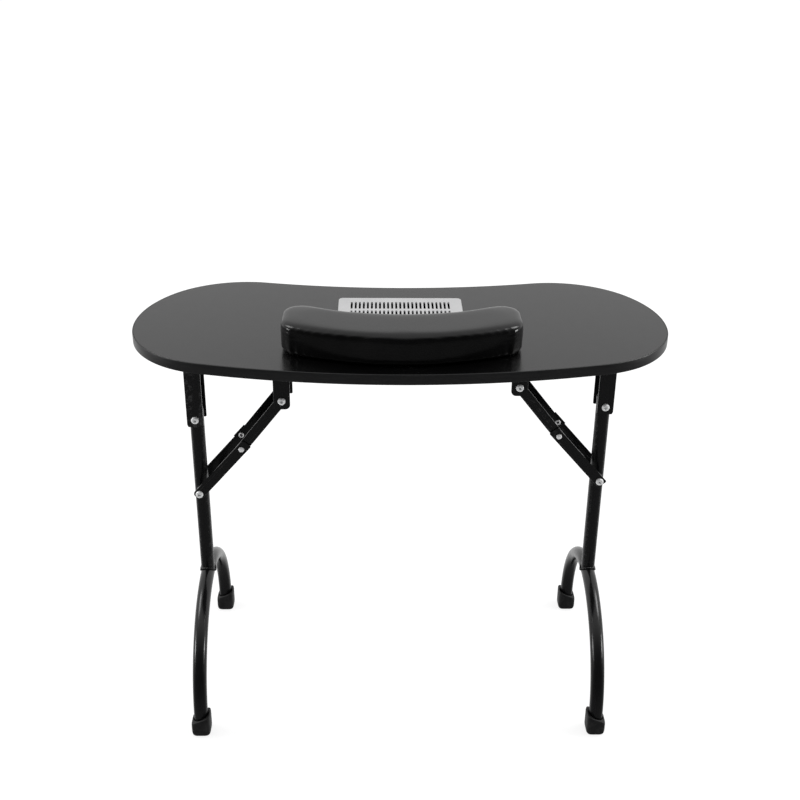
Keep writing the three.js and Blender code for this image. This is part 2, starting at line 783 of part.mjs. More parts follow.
// The outline of a link's flange, from pin to pin along X. open is the sign of its open side.
function linkOutline({ length, kneeTail, startRadius, endRadius, openEdge, webEdge, open }) {
  const left = -BRACE.tail;
  const right = length + kneeTail;
  const quarter = Math.PI / 2;
  return [
    ...arcPoints(left + startRadius, startRadius - webEdge, startRadius, 2 * quarter, 3 * quarter, 4),
    ...arcPoints(right - endRadius, endRadius - webEdge, endRadius, -quarter, 0, 4),
    ...arcPoints(right - endRadius, openEdge - endRadius, endRadius, 0, quarter, 4),
    ...arcPoints(left + startRadius, openEdge - startRadius, startRadius, quarter, 2 * quarter, 4),
  ].map(({ x, y }) => new THREE.Vector2(x, open * y));
}

// A channel link along X with its pins at x = 0 and x = length. Its web is on the closed side and
// runs from webFrom to webTo.
function channelLink(link) {
  const { length, width, wall, openEdge, webEdge, open, webFrom, webTo } = link;
  const section = channelSection(width, webEdge + openEdge, wall);
  const points = section.map(({ x, y }) => new THREE.Vector2(x, open * (y - webEdge)));
  const overrun = 30;
  const depth = length + 2 * overrun;
  const bar = new THREE.ExtrudeGeometry(shapeOf(points), { depth, bevelEnabled: false });
  const basis = new THREE.Matrix4().makeBasis(
    new THREE.Vector3(0, 1, 0),
    new THREE.Vector3(0, 0, 1),
    new THREE.Vector3(1, 0, 0),
  );
  bar.applyMatrix4(basis).translate(-overrun, 0, 0);
  const flanges = intersect(bar, plate(shapeOf(linkOutline(link)), -width, 2 * width));
  const half = width / 2 - wall;
  const cutEdges = [-webEdge - 1, -webEdge + wall + 1.6].map((edge) => open * edge);
  const low = Math.min(...cutEdges);
  const high = Math.max(...cutEdges);
  const atStart = box(-overrun, webFrom, -half, half, low, high);
  const atEnd = box(webTo, length + overrun, -half, half, low, high);
  return cut(flanges, atStart, atEnd);
}

function lowerLink(side, length) {
  const open = -side;
  const { inner, wall, openEdge } = LOWER_LINK;
  const startRadius = LOWER_LINK.startRadius[side < 0 ? "left" : "right"];
  const link = channelLink({ ...LOWER_LINK, length, open, startRadius, width: inner + 2 * wall });
  const edges = [openEdge - STOP_TAB.root, openEdge + STOP_TAB.out].map((edge) => open * edge);
  const tab = box(
    length - STOP_TAB.before,
    length + STOP_TAB.after,
    inner / 2,
    inner / 2 + wall,
    Math.min(...edges),
    Math.max(...edges),
  );
  return cut(join(link, tab), hole(0, 0), hole(length, 0, RIVET.hole));
}

function upperLink(side, length) {
  const link = channelLink({ ...UPPER_LINK, length, open: side, width: UPPER_LINK.outer });
  const rivetHole = crossCylinder(
    length + STOP_RIVET.past,
    side * STOP_RIVET.out,
    RIVET.hole,
    UPPER_LINK.outer / 2,
  );
  rivetHole.translate(0, UPPER_LINK.outer / 2, 0);
  return cut(link, hole(0, 0), hole(length, 0, RIVET.hole), rivetHole);
}

// ---------------------------------------------------------------- fasteners
// A button-head bolt along Y: its head is in front of -grip and its nut behind +grip.
function boltGeometry(grip) {
  const { shank, head, headHeight, recess, recessDepth, nutHeight, tail } = BOLT;
  const seat = -grip - GAP;
  const end = grip + GAP + nutHeight + tail;
  const body = turned([
    [0, seat - headHeight],
    [head * 0.55, seat - headHeight],
    [head * 0.88, seat - headHeight * 0.66],
    [head, seat - headHeight * 0.2],
    [head, seat],
    [shank, seat],
    [shank, end - 0.8],
    [shank - 0.8, end],
    [0, end],
  ]);
  const socket = new THREE.CylinderGeometry(recess, recess, 2 * recessDepth, 6);
  return cut(body, socket.translate(0, seat - headHeight, 0));
}

function nutGeometry(grip) {
  const radius = BOLT.nutAcross / Math.sqrt(3);
  const hexagon = new THREE.CylinderGeometry(radius, radius, BOLT.nutHeight, 6);
  const bore = new THREE.CylinderGeometry(BOLT.shank + GAP, BOLT.shank + GAP, 30, SIDES.pin);
  const nut = cut(hexagon, bore);
  return nut.translate(0, grip + GAP + BOLT.nutHeight / 2, 0);
}

// A domed rivet along Y. facing is -1 where its head is in front of its shank, and +1 behind it. The
// shank runs from tailY to seatY, both measured the way that the head faces.
function rivetGeometry(facing, tailY, seatY) {
  const { shank, head, headHeight } = RIVET;
  const face = seatY + GAP;
  const rivet = turned([
    [0, tailY],
    [shank, tailY],
    [shank, face],
    [head, face],
    [head, face + headHeight * 0.35],
    [head * 0.7, face + headHeight * 0.85],
    [0, face + headHeight],
  ]);
  return facing > 0 ? rivet : rivet.rotateZ(Math.PI);
}

function fastener(name, geometry, x, z) {
  const piece = mesh(name, geometry, finish.zinc());
  piece.position.set(x, 0, z);
  return piece;
}

// ---------------------------------------------------------------- one leg with its brace
function buildLeg(sideName) {
  const side = sideName === "left" ? -1 : 1;
  const pivotZ = PIVOT_HEIGHT[sideName];
  const named = (piece) => `${sideName}_${piece}`;
  const pivot = new THREE.Vector2(side * LEG.x, pivotZ);
  const legPin = new THREE.Vector2(pivot.x, pivot.y - BRACE.legPinDrop);
  const topPin = new THREE.Vector2(pivot.x - side * BRACE.topPinIn, pivot.y + BRACE.topPinUp);
  const span = legPin.distanceTo(topPin);
  const linkLength = Math.hypot(span / 2, BRACE.overCentre);
  const along = topPin.clone().sub(legPin).normalize();
  const awayFromCorner = new THREE.Vector2(-side * along.y, side * along.x);
  const knee = legPin.clone().lerp(topPin, 0.5).addScaledVector(awayFromCorner, BRACE.overCentre);
  const leg = new THREE.Group();

  const legBracket = channelBracket(LEG_BRACKET, side, pivot.x, pivot.y);
  leg.add(mesh(named("leg_bracket"), legBracket, finish.blackPaint()));
  const topBracket = channelBracket(TOP_BRACKET, side, topPin.x, topPin.y);
  leg.add(mesh(named("brace_top_bracket"), topBracket, finish.blackPaint()));

  const footTop = FOOT.floor + GAP;
  const archTop = LEG.archCentreZ + LEG.archRadius;
  const bore = LEG.tubeRadius - LEG.tubeWall;
  const postTop = pivotZ + LEG.heel;
  const post = slab(tubeSection(LEG.tubeRadius, bore, SIDES.tube), archTop + 1, postTop - archTop - 1);
  const saddle = archTube(LEG.tubeRadius + GAP, 0, footTop);
  const sleeves = [
    crossCylinder(0, pivot.y, LEG.sleeveRadius, LEG_BRACKET.inner / 2 - GAP),
    crossCylinder(0, legPin.y, LEG.sleeveRadius, LOWER_LINK.inner / 2 - GAP),
  ];
  const drilled = cut(join(post, ...sleeves), saddle, hole(0, pivot.y), hole(0, legPin.y));
  const posed = mesh(named("leg_post"), drilled, finish.blackPaint());
  posed.position.x = pivot.x;
  leg.add(posed);
  const postPlug = mesh(named("post_plug"), plugGeometry(bore - GAP), finish.blackPlastic());
  postPlug.position.set(pivot.x, 0, postTop - PLUG.depth + GAP);
  leg.add(postPlug);
  const arch = mesh(named("foot_arch"), archTube(LEG.tubeRadius, bore, footTop), finish.blackPaint());
  arch.position.x = pivot.x;
  leg.add(arch);
  for (const [place, y] of [["front", -LEG.archRadius], ["rear", LEG.archRadius]]) {
    const foot = mesh(named(`foot_${place}`), footGeometry(side), finish.rubber());
    foot.position.set(pivot.x, y, 0);
    leg.add(foot);
  }

  const lower = mesh(named("brace_lower"), lowerLink(side, linkLength), finish.blackPaint());
  lower.position.set(legPin.x, 0, legPin.y);
  const lowerAngle = Math.atan2(knee.y - legPin.y, knee.x - legPin.x);
  lower.rotation.y = -lowerAngle;
  const upper = mesh(named("brace_upper"), upperLink(side, linkLength), finish.blackPaint());
  upper.position.set(topPin.x, 0, topPin.y);
  const upperAngle = Math.atan2(knee.y - topPin.y, knee.x - topPin.x);
  upper.rotation.y = -upperAngle;
  leg.add(lower, upper);

  const legGrip = LEG_BRACKET.inner / 2 + LEG_BRACKET.wall;
  const topGrip = TOP_BRACKET.inner / 2 + TOP_BRACKET.wall;
  const braceGrip = LOWER_LINK.inner / 2 + LOWER_LINK.wall;
  for (const [name, grip, pin] of [
    ["pivot", legGrip, pivot],
    ["leg_pin", braceGrip, legPin],
    ["top_pin", topGrip, topPin],
  ]) {
    leg.add(fastener(named(`${name}_bolt`), boltGeometry(grip), pin.x, pin.y));
    leg.add(fastener(named(`${name}_nut`), nutGeometry(grip), pin.x, pin.y));
  }
  const kneeRivet = (facing) => rivetGeometry(facing, LOWER_LINK.inner / 2, braceGrip);
  leg.add(fastener(named("knee_rivet_front"), kneeRivet(-1), knee.x, knee.y));
  leg.add(fastener(named("knee_rivet_rear"), kneeRivet(1), knee.x, knee.y));
  const flange = UPPER_LINK.outer / 2;
  const stop = new THREE.Vector2(linkLength + STOP_RIVET.past, side * STOP_RIVET.out);
  stop.rotateAround(new THREE.Vector2(0, 0), upperAngle).add(topPin);
  const stopRivet = rivetGeometry(-1, -flange, UPPER_LINK.wall - flange);
  leg.add(fastener(named("stop_rivet"), stopRivet, stop.x, stop.y));
  return leg;
}

const table = new THREE.Group();
table.add(buildTop());
table.add(buildGrille());
table.add(buildHousing());
table.add(buildHousingScrews());
table.add(buildFan());
table.add(buildDustBag());
table.add(buildControls());
table.add(buildCushion());
table.add(buildLeg("left"));
table.add(buildLeg("right"));

export default table;
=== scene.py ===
# The looks of the folding manicure table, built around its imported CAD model.
# Metres. +X is the right of someone facing the cushion, +Y points away from them, +Z is up.
import json
from math import atan2, copysign, cos, exp, hypot, pi, radians, sin, sqrt, tau

import bmesh
import bpy
from mathutils import Matrix, Vector
from mathutils.geometry import tessellate_polygon


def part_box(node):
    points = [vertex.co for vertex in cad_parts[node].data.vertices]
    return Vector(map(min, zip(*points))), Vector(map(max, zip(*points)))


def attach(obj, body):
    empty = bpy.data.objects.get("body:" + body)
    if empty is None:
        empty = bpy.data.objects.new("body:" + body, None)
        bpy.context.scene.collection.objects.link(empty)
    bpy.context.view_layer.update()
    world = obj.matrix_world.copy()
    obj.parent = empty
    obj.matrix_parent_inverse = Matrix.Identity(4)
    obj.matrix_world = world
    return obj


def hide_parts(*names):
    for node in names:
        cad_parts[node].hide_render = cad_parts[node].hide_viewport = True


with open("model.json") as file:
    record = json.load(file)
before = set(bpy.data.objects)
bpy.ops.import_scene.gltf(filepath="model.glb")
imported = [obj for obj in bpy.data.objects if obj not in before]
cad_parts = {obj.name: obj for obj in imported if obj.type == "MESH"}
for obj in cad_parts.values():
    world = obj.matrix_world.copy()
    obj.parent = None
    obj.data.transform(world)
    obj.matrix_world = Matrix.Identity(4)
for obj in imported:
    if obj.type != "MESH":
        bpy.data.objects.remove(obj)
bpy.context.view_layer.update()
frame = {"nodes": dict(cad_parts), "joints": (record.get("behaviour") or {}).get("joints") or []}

JOINTS = {joint["name"]: joint for joint in frame["joints"]}
SIDES = {"left": -1, "right": 1}

# ---------------------------------------------------------------- driving dimensions
GAP = 0.0003
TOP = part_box("tabletop_board")[1].z
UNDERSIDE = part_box("tabletop_board")[0].z
BAND = 0.0015

# The top's outline is one chain of tangent arcs, given for its right half.
OUTLINE = {
    "front_y": -0.1975,
    "back_y": 0.1775,
    "front_radius": 1.34,
    "corner_radius": 0.166,
    "end_radius": 0.215,
    "lobe_radius": 0.166,
    "front_end": radians(-75.8),
    "corner_end": radians(-7.5),
    "end_end": radians(37),
}
DUCT_Y = 0.0485
CUTOUT = {"width": 0.206, "depth": 0.134, "corner": 0.005}
GRILLE = {
    "corner": 0.008,
    "lip_wall": 0.002,
    "slots": 25,
    "pitch": 0.007125,
    "slot_width": 0.0034,
    "slot_length": 0.031,
    "rows": (0.084, 0.0445, 0.005),
}
HOUSING = {
    "width": 0.224,
    "depth": 0.152,
    "wall": 0.0025,
    "flange": 0.012,
    "corner": 0.006,
    "fan_hole": 0.056,
}
RIB = {"pitch": 0.045, "half": 0.001, "reach": 0.75, "foot": 0.008, "below": 0.001}
SWITCH = {
    "well_x": 0.0084,
    "well_z": 0.0054,
    "well_depth": 0.005,
    "body_x": 0.019,
    "body_z": 0.013,
    "body_depth": 0.009,
}
ROCKER = {"half_x": 0.0076, "half_z": 0.0046, "lip": 0.0016, "dish": 0.0009, "end": -0.0006, "back": -0.0022}
INLET = {"flange": 0.007, "body": 0.0055, "socket": 0.0032, "depth": 0.009, "proud": 0.002}
FAN = {"bore": 0.0575, "hub": 0.02, "tip": 0.0555, "blades": 7, "flange": 0.0035, "screw": 0.0525}
BLADE = {
    "chord": 0.019,
    "widening": 0.004,
    "pitch": 50,
    "twist": 16,
    "camber": 0.0022,
    "thickness": 0.0008,
    "sweep": 0.25,
}
CUSHION = {
    "length": 0.391,
    "depth": 0.103,
    "bend": 0.415,
    "front_y": -0.172,
    "tuck": 0.005,  # how far the base board's edge lies inside the cushion's
    "drop": 0.0012,  # how far the wrapped leather stands below the base board
    "front_corner": 0.022,
    "rear_corner": 0.048,
    "fold_corner": 0.034,  # the radius that the folds of the leather are laid out round
}
FOLDS = {"count": 13, "depth": 0.0012, "crease": 0.0006, "from_corner": -0.02}
BAG = {"fullness": 0.95, "pleats": 26, "pleat": 0.0011, "sag": 0.0012, "piping": 0.0009, "inset": 0.0006}
WELD = {"bead": 0.0024, "out": 0.0004, "up": 0.0006, "ripples": 52}

TUBE = 0.0125
BORE = 0.011
HEEL = 0.012  # the post above its pivot
ARCH = {"radius": 0.19, "centre_z": 0.03}
FOOT = {
    "half_x": 0.017,
    "half_y": 0.018,
    "high": 0.042,
    "low": 0.027,
    "floor": 0.006,
    "square": 4.5,
    "bore": 0.0133,
}
SLEEVE = 0.0068  # the sleeves across the post that its two pins run through
LINK_TAIL = 0.0086  # a link's channel beyond its end pin
LOWER_LINK = {
    "width": 0.0646,
    "wall": 0.0018,
    "knee_tail": 0.0155,
    "open_edge": 0.0094,
    "web_edge": 0.0105,
    "web": (0.03, 0.05),
    "end_radius": 0.004,
}
LOWER_START_RADIUS = {"left": 0.007, "right": 0.0025}
UPPER_LINK = {
    "width": 0.06,
    "wall": 0.0015,
    "knee_tail": 0.0125,
    "open_edge": 0.0093,
    "web_edge": 0.0099,
    "web": (0.014, 0.1),
    "end_radius": 0.007,
}
UPPER_START_RADIUS = 0.006
STOP_TAB = {"before": 0.018, "after": 0.011, "out": 0.002, "root": 0.003}
LEG_BRACKET = {
    "inner": 0.039,
    "out": 0.0148,
    "in": 0.0142,
    "below": 0.014,
    "web_stop": 0.021,
    "corner": 0.0025,
    "rear_corner": 0.0025,
    "chamfer": (0.003, 0.0045),
}
TOP_BRACKET = {
    "inner": 0.061,
    "out": 0.0145,
    "in": 0.0145,
    "below": 0.016,
    "web_stop": 0.014,
    "corner": 0.009,
    "rear_corner": 0.0025,
    "chamfer": (0.003, 0.003),
}
BRACKET_WALL = 0.002
PLATE = {"width": 0.046, "lug": 0.016, "corner": 0.005, "thickness": 0.002}
BOLT = {
    "shank": 0.004,
    "hole": 0.0045,
    "head": 0.0068,
    "height": 0.0046,
    "recess": 0.0028,
    "recess_depth": 0.0039,
}
NUT = {"across": 0.013, "height": 0.0064, "tail": 0.0025}
PAN_HEAD = {"shoulder": 0.35, "arm": 0.62, "half": 0.14, "floor": 0.45}  # as shares of its size
RIVET = {"shank": 0.0028, "hole": 0.0031, "head": 0.005, "height": 0.0026}

# A local solid is made along Z and then turned: its height to run along X, or towards -Y.
ALONG_X = Matrix(((0, 0, 1, 0), (1, 0, 0, 0), (0, 1, 0, 0), (0, 0, 0, 1)))
ALONG_Y = Matrix(((1, 0, 0, 0), (0, 0, -1, 0), (0, 1, 0, 0), (0, 0, 0, 1)))
UP = Vector((0, 0, 1))


# ---------------------------------------------------------------- outlines
def angles(count):
    """Evenly spaced angles round a full turn."""
    return [tau * i / count for i in range(count)]


def hoop(centre, radius, out, up, sides):
    """Points round a circle in the plane of out and up."""
    return [centre + radius * (cos(a) * out + sin(a) * up) for a in angles(sides)]


def arc(cx, cy, radius, start, end, steps):
    """Points of an arc, both ends included."""
    turns = [start + (end - start) * i / steps for i in range(steps + 1)]
    return [(cx + radius * cos(a), cy + radius * sin(a)) for a in turns]


def circle(radius, sides=48, cx=0.0, cy=0.0):
    return arc(cx, cy, radius, 0, tau, sides)[:-1]


def rounded_rectangle(width, depth, corner, cx=0.0, cy=0.0, steps=8):
    x = width / 2 - corner
    y = depth / 2 - corner
    quarter = pi / 2
    points = []
    for i, (sx, sy) in enumerate(((1, 1), (-1, 1), (-1, -1), (1, -1))):
        points += arc(cx + sx * x, cy + sy * y, corner, i * quarter, (i + 1) * quarter, steps)
    return points


def growing_rectangle(width, depth, corner, cx=0.0, cy=0.0):
    """A rounded rectangle as a function of how far it is moved outwards."""

    def outline(offset):
        return rounded_rectangle(width + 2 * offset, depth + 2 * offset, corner + offset, cx, cy)

    return outline


def growing_circle(radius, sides=64, cx=0.0, cy=0.0):
    return lambda offset: circle(radius + offset, sides, cx, cy)


def fixed(points):
    """An outline that stays as it is whatever the offset."""
    return lambda offset: points


def top_outline(offset):
    """The table top's outline moved outwards by offset."""
    corner_end, end_end, front_end = OUTLINE["corner_end"], OUTLINE["end_end"], OUTLINE["front_end"]
    front_r, corner_r = OUTLINE["front_radius"], OUTLINE["corner_radius"]
    end_r, lobe_r = OUTLINE["end_radius"], OUTLINE["lobe_radius"]

    def step(centre, distance, angle):
        return centre + distance * Vector((cos(angle), sin(angle)))

    front = Vector((0, OUTLINE["front_y"] + front_r))
    corner = step(front, front_r - corner_r, front_end)
    end = step(corner, corner_r - end_r, corner_end)
    lobe = step(end, end_r - lobe_r, end_end)
    rise = OUTLINE["back_y"] - lobe.y
    back_r = (lobe.x**2 + rise**2 - lobe_r**2) / (2 * (lobe_r - rise))
    lobe_end = pi - atan2(rise + back_r, lobe.x)
    down = -pi / 2
    right = arc(*front, front_r + offset, down, front_end, 24)
    right += arc(*corner, corner_r + offset, front_end, corner_end, 30)[1:]
    right += arc(*end, end_r + offset, corner_end, end_end, 20)[1:]
    right += arc(*lobe, lobe_r + offset, end_end, lobe_end, 34)[1:]
    right += arc(0, OUTLINE["back_y"] + back_r, back_r - offset, lobe_end - pi, down, 20)[1:]
    left = [(-x, y) for x, y in right[1:-1]]
    return right + left[::-1]


def cushion_bend(x):
    """How far the cushion's long sides have curved away from the front at x."""
    return CUSHION["bend"] - sqrt(CUSHION["bend"] ** 2 - x**2)


def cushion_outline(inset, steps=14):
    """The cushion's outline moved inwards by inset: a rounded rectangle sheared along its bend."""
    length = CUSHION["length"] - 2 * inset
    points = []
    corners = ((1, "front", -1), (1, "rear", 0), (-1, "rear", 1), (-1, "front", 2))
    for side_x, end, turns in corners:
        corner = CUSHION[f"{end}_corner"] - inset
        edge = CUSHION["front_y"] + (CUSHION["depth"] - inset - corner if end == "rear" else inset + corner)
        start = pi / 2 * turns
        points += arc(side_x * (length / 2 - corner), edge, corner, start, start + pi / 2, steps)
    bent = []
    for i, (x, y) in enumerate(points):
        bent.append((x, y + cushion_bend(x)))
        next_x = points[(i + 1) % len(points)][0]
        if abs(next_x - x) > length / 2:
            pieces = 40
            for k in range(1, pieces):
                between = x + (next_x - x) * k / pieces
                bent.append((between, y + cushion_bend(between)))
    return bent


# ---------------------------------------------------------------- meshes
def node_centre(node):
    low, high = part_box(node)
    return (low + high) / 2


def new_piece(name, vertices, faces):
    data = bpy.data.meshes.new(name)
    data.from_pydata(vertices, [], faces)
    shape = bmesh.new()
    shape.from_mesh(data)
    bmesh.ops.remove_doubles(shape, verts=shape.verts, dist=1e-7)
    bmesh.ops.recalc_face_normals(shape, faces=shape.faces)
    shape.to_mesh(data)
    shape.free()
    piece = bpy.data.objects.new(name, data)
    bpy.context.scene.collection.objects.link(piece)
    return piece


def prism(name, outlines, profile, turn=None):
    """A flat solid. outlines are functions of an outward offset, the outer one first and then its
    holes. profile is (inset, z) pairs from the bottom up."""
    vertices, faces, levels = [], [], []
    for inset, z in profile:
        rings = []
        for number, outline in enumerate(outlines):
            points = outline(inset if number else -inset)
            rings.append(range(len(vertices), len(vertices) + len(points)))
            vertices += [(x, y, z) for x, y in points]
        levels.append(rings)
    for lower, upper in zip(levels, levels[1:]):
        for low, high in zip(lower, upper):
            count = len(low)
            faces += [(low[i], low[(i + 1) % count], high[(i + 1) % count], high[i]) for i in range(count)]
    for rings in (levels[0], levels[-1]):
        loops = [[Vector(vertices[i]) for i in ring] for ring in rings]
        order = [i for ring in rings for i in ring]
        faces += [tuple(order[i] for i in triangle) for triangle in tessellate_polygon(loops)]
    if turn is not None:
        vertices = [turn @ Vector(v) for v in vertices]
    return new_piece(name, vertices, faces)


def edge_profile(low, high, radius, steps=3, foot=None):
    """Levels of a slab whose upper edge is rounded by radius and its lower one by foot."""
    foot = radius if foot is None else foot
    support = 0.0001
    quarter = [pi / 2 * i / steps for i in range(steps + 1)]
    profile = [(foot + support, low)] if foot else [(0, low)]
    if foot:
        profile += [(foot * (1 - sin(a)), low + foot * (1 - cos(a))) for a in quarter]
    if radius:
        profile += [(radius * (1 - cos(a)), high - radius * (1 - sin(a))) for a in quarter]
        profile.append((radius + support, high))
    else:
        profile.append((0, high))
    return profile


def loft(name, rings, closed=False, caps=True):
    """Skin over rings of equal length; closed joins the last one to the first."""
    count = len(rings[0])
    vertices = [point for ring in rings for point in ring]
    pairs = list(zip(range(len(rings)), range(1, len(rings))))
    if closed:
        pairs.append((len(rings) - 1, 0))
    faces = []
    for a, b in pairs:
        for i in range(count):
            k = (i + 1) % count
            faces.append((a * count + i, a * count + k, b * count + k, b * count + i))
    if caps and not closed:
        faces.append(tuple(range(count)))
        faces.append(tuple(range((len(rings) - 1) * count, len(rings) * count)))
    return new_piece(name, vertices, faces)


def lathe(name, profile, sides=48, turn=None):
    """A turned solid: (radius, height) pairs revolved about Z."""
    rings = []
    for radius, height in profile:
        rings.append([Vector((x, y, height)) for x, y in circle(max(radius, 1e-9), sides)])
    if turn is not None:
        rings = [[turn @ point for point in ring] for ring in rings]
    return loft(name, rings, caps=False)


def box(name, x0, x1, y0, y1, z0, z1):
    return prism(name, [fixed([(x0, y0), (x1, y0), (x1, y1), (x0, y1)])], [(0, z0), (0, z1)])


def cross_cylinder(x, z, radius, half_length=0.05, sides=32):
    """A cylinder along Y, to drill with or to add."""
    turn = Matrix.Translation((x, 0, z)) @ ALONG_Y
    return prism("cylinder", [fixed(circle(radius, sides))], [(0, -half_length), (0, half_length)], turn)


def apply_modifiers(piece):
    bpy.context.view_layer.update()
    evaluated = piece.evaluated_get(bpy.context.evaluated_depsgraph_get())
    shape = bpy.data.meshes.new_from_object(evaluated)
    piece.modifiers.clear()
    piece.data = shape


def combine(piece, operation, *tools):
    """Boolean with each tool in turn; the tools are used up."""
    for tool in tools:
        modifier = piece.modifiers.new("combine", "BOOLEAN")
        modifier.operation = operation
        modifier.solver = "EXACT"
        modifier.object = tool
        apply_modifiers(piece)
        bpy.data.objects.remove(tool)
    return piece


def cut(piece, *tools):
    return combine(piece, "DIFFERENCE", *tools)


def add(piece, *tools):
    return combine(piece, "UNION", *tools)


def turned(piece, matrix):
    piece.data.transform(matrix)
    piece.data.update()
    return piece


def soften(piece, width=0.00035, segments=2):
    """Breaks the sharp edges, as pressing, moulding or painting does."""
    shape = bmesh.new()
    shape.from_mesh(piece.data)
    bmesh.ops.remove_doubles(shape, verts=shape.verts, dist=2e-6)
    bmesh.ops.dissolve_limit(shape, angle_limit=radians(0.5), verts=shape.verts, edges=shape.edges)
    bmesh.ops.recalc_face_normals(shape, faces=shape.faces)
    shape.to_mesh(piece.data)
    shape.free()
    piece.data.shade_smooth()
    modifier = piece.modifiers.new("edges", "BEVEL")
    modifier.width = width
    modifier.segments = segments
    modifier.limit_method = "ANGLE"
    modifier.angle_limit = radians(38)
    modifier.harden_normals = True
    apply_modifiers(piece)
    return piece


def smooth(piece, angle=32):
    piece.data.shade_smooth()
    piece.data.set_sharp_from_angle(angle=radians(angle))
    return piece


def dress(piece, body, slot, *nodes):
    """Gives a piece its finish and its body, and hides the CAD nodes that it stands for."""
    piece.data.materials.clear()
    piece.data.materials.append(FINISH[slot])
    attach(piece, body)
    if nodes:
        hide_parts(*nodes)
    return piece


# ---------------------------------------------------------------- materials
def shader_node(tree, kind, output, inputs, **settings):
    """Adds a node and gives back one of its outputs. An input is a value, or an output to link."""
    node = tree.nodes.new(kind)
    for key, value in settings.items():
        setattr(node, key, value)
    for socket, value in inputs.items():
        if isinstance(value, bpy.types.NodeSocket):
            tree.links.new(value, node.inputs[socket])
        else:
            node.inputs[socket].default_value = value
    return node.outputs[output]


def maths(tree, operation, *values):
    return shader_node(tree, "ShaderNodeMath", "Value", dict(enumerate(values)), operation=operation)


def map_range(tree, value, low, high, to_low, to_high, **settings):
    """Maps low..high of a pattern to to_low..to_high, clamped."""
    inputs = {"Value": value, "From Min": low, "From Max": high, "To Min": to_low, "To Max": to_high}
    return shader_node(tree, "ShaderNodeMapRange", "Result", inputs, **settings)


class Finish:
    """A material under construction. Patterns follow the object's own coordinates, in metres."""

    def __init__(self, name, **sockets):
        self.material = bpy.data.materials.new(name)
        self.material.use_nodes = True
        self.tree = self.material.node_tree
        self.shader = self.tree.nodes["Principled BSDF"]
        self.place = self.tree.nodes.new("ShaderNodeTexCoord").outputs["Object"]
        self.normal = None
        for socket, value in sockets.items():
            self.shader.inputs[socket.replace("_", " ")].default_value = value

    def pattern(self, kind, output, inputs, **settings):
        return shader_node(self.tree, kind, output, {"Vector": self.place} | inputs, **settings)

    def noise(self, scale, detail=3.0, roughness=0.5, stretch=None):
        inputs = {"Scale": scale, "Detail": detail, "Roughness": roughness}
        if stretch:
            inputs["Vector"] = self.pattern("ShaderNodeMapping", "Vector", {"Scale": stretch})
        return self.pattern("ShaderNodeTexNoise", "Fac", inputs)

    def cells(self, scale, feature="F1"):
        return self.pattern("ShaderNodeTexVoronoi", "Distance", {"Scale": scale}, feature=feature)

    def wave(self, scale, direction, distortion):
        inputs = {"Scale": scale, "Distortion": distortion}
        return self.pattern("ShaderNodeTexWave", "Fac", inputs, wave_type="BANDS", bands_direction=direction)

    def spread(self, value, low, high, to_low=0.0, to_high=1.0):
        return map_range(self.tree, value, low, high, to_low, to_high)

    def sum(self, first, second, share=1.0):
        """first + share * second."""
        return maths(self.tree, "MULTIPLY_ADD", second, share, first)

    def product(self, first, second):
        return maths(self.tree, "MULTIPLY", first, second)

    def worn_edges(self, low, high):
        """Follows the convex edges, broken up by a noise."""
        pointiness = self.tree.nodes.new("ShaderNodeNewGeometry").outputs["Pointiness"]
        broken = self.spread(self.noise(160, 5, 0.65), 0.48, 0.62)
        return self.product(self.spread(pointiness, low, high), broken)

    def colour(self, factor, first, second):
        inputs = {"Factor": factor, "A": (*first, 1), "B": (*second, 1)}
        mixed = shader_node(self.tree, "ShaderNodeMix", "Result", inputs, data_type="RGBA")
        self.tree.links.new(mixed, self.shader.inputs["Base Color"])

    def roughness(self, value):
        self.tree.links.new(value, self.shader.inputs["Roughness"])

    def patchy(self, low, high, *noise):
        """Roughness between low and high that follows a noise."""
        self.roughness(self.spread(self.noise(*noise), 0.3, 0.7, low, high))

    def bump(self, height, strength, distance):
        """Adds relief to what is already there."""
        inputs = {"Strength": strength, "Distance": distance, "Height": height}
        if self.normal is not None:
            inputs["Normal"] = self.normal
        self.normal = shader_node(self.tree, "ShaderNodeBump", "Normal", inputs)
        self.tree.links.new(self.normal, self.shader.inputs["Normal"])


def laminate():
    """Satin black melamine: a faint cloud, a fine pressed texture and a few pale specks."""
    made = Finish("satin_laminate", Specular_IOR_Level=0.55)
    specks = made.spread(made.cells(420), 0.07, 0.04)
    cloud = made.spread(made.noise(14, 4), 0.35, 0.65, 0, 0.25)
    made.colour(made.sum(cloud, specks, 0.3), (0.0015, 0.0015, 0.0016), (0.005, 0.005, 0.0052))
    made.patchy(0.2, 0.26, 60, 5, 0.6)
    made.bump(made.noise(2600, 2), 0.12, 0.00002)
    return made.material


def edge_band():
    """Extruded PVC strip with faint lengthwise streaks."""
    made = Finish("edge_band")
    streaks = made.noise(30, 4, 0.6, stretch=(1, 1, 40))
    made.colour(made.spread(streaks, 0.35, 0.7), (0.006, 0.006, 0.0065), (0.012, 0.012, 0.0125))
    made.roughness(made.spread(streaks, 0.3, 0.7, 0.3, 0.42))
    made.bump(made.sum(streaks, made.noise(1800, 2), 0.3), 0.15, 0.00003)
    return made.material


def silver_plastic():
    """Satin silver-grey moulding with a fine spark-eroded texture."""
    made = Finish("silver_plastic", Metallic=0.15)
    cloud = made.noise(22, 4)
    made.colour(made.spread(cloud, 0.3, 0.7), (0.54, 0.54, 0.545), (0.6, 0.6, 0.605))
    made.patchy(0.38, 0.48, 300, 3)
    made.bump(made.cells(1600), 0.1, 0.00004)
    return made.material


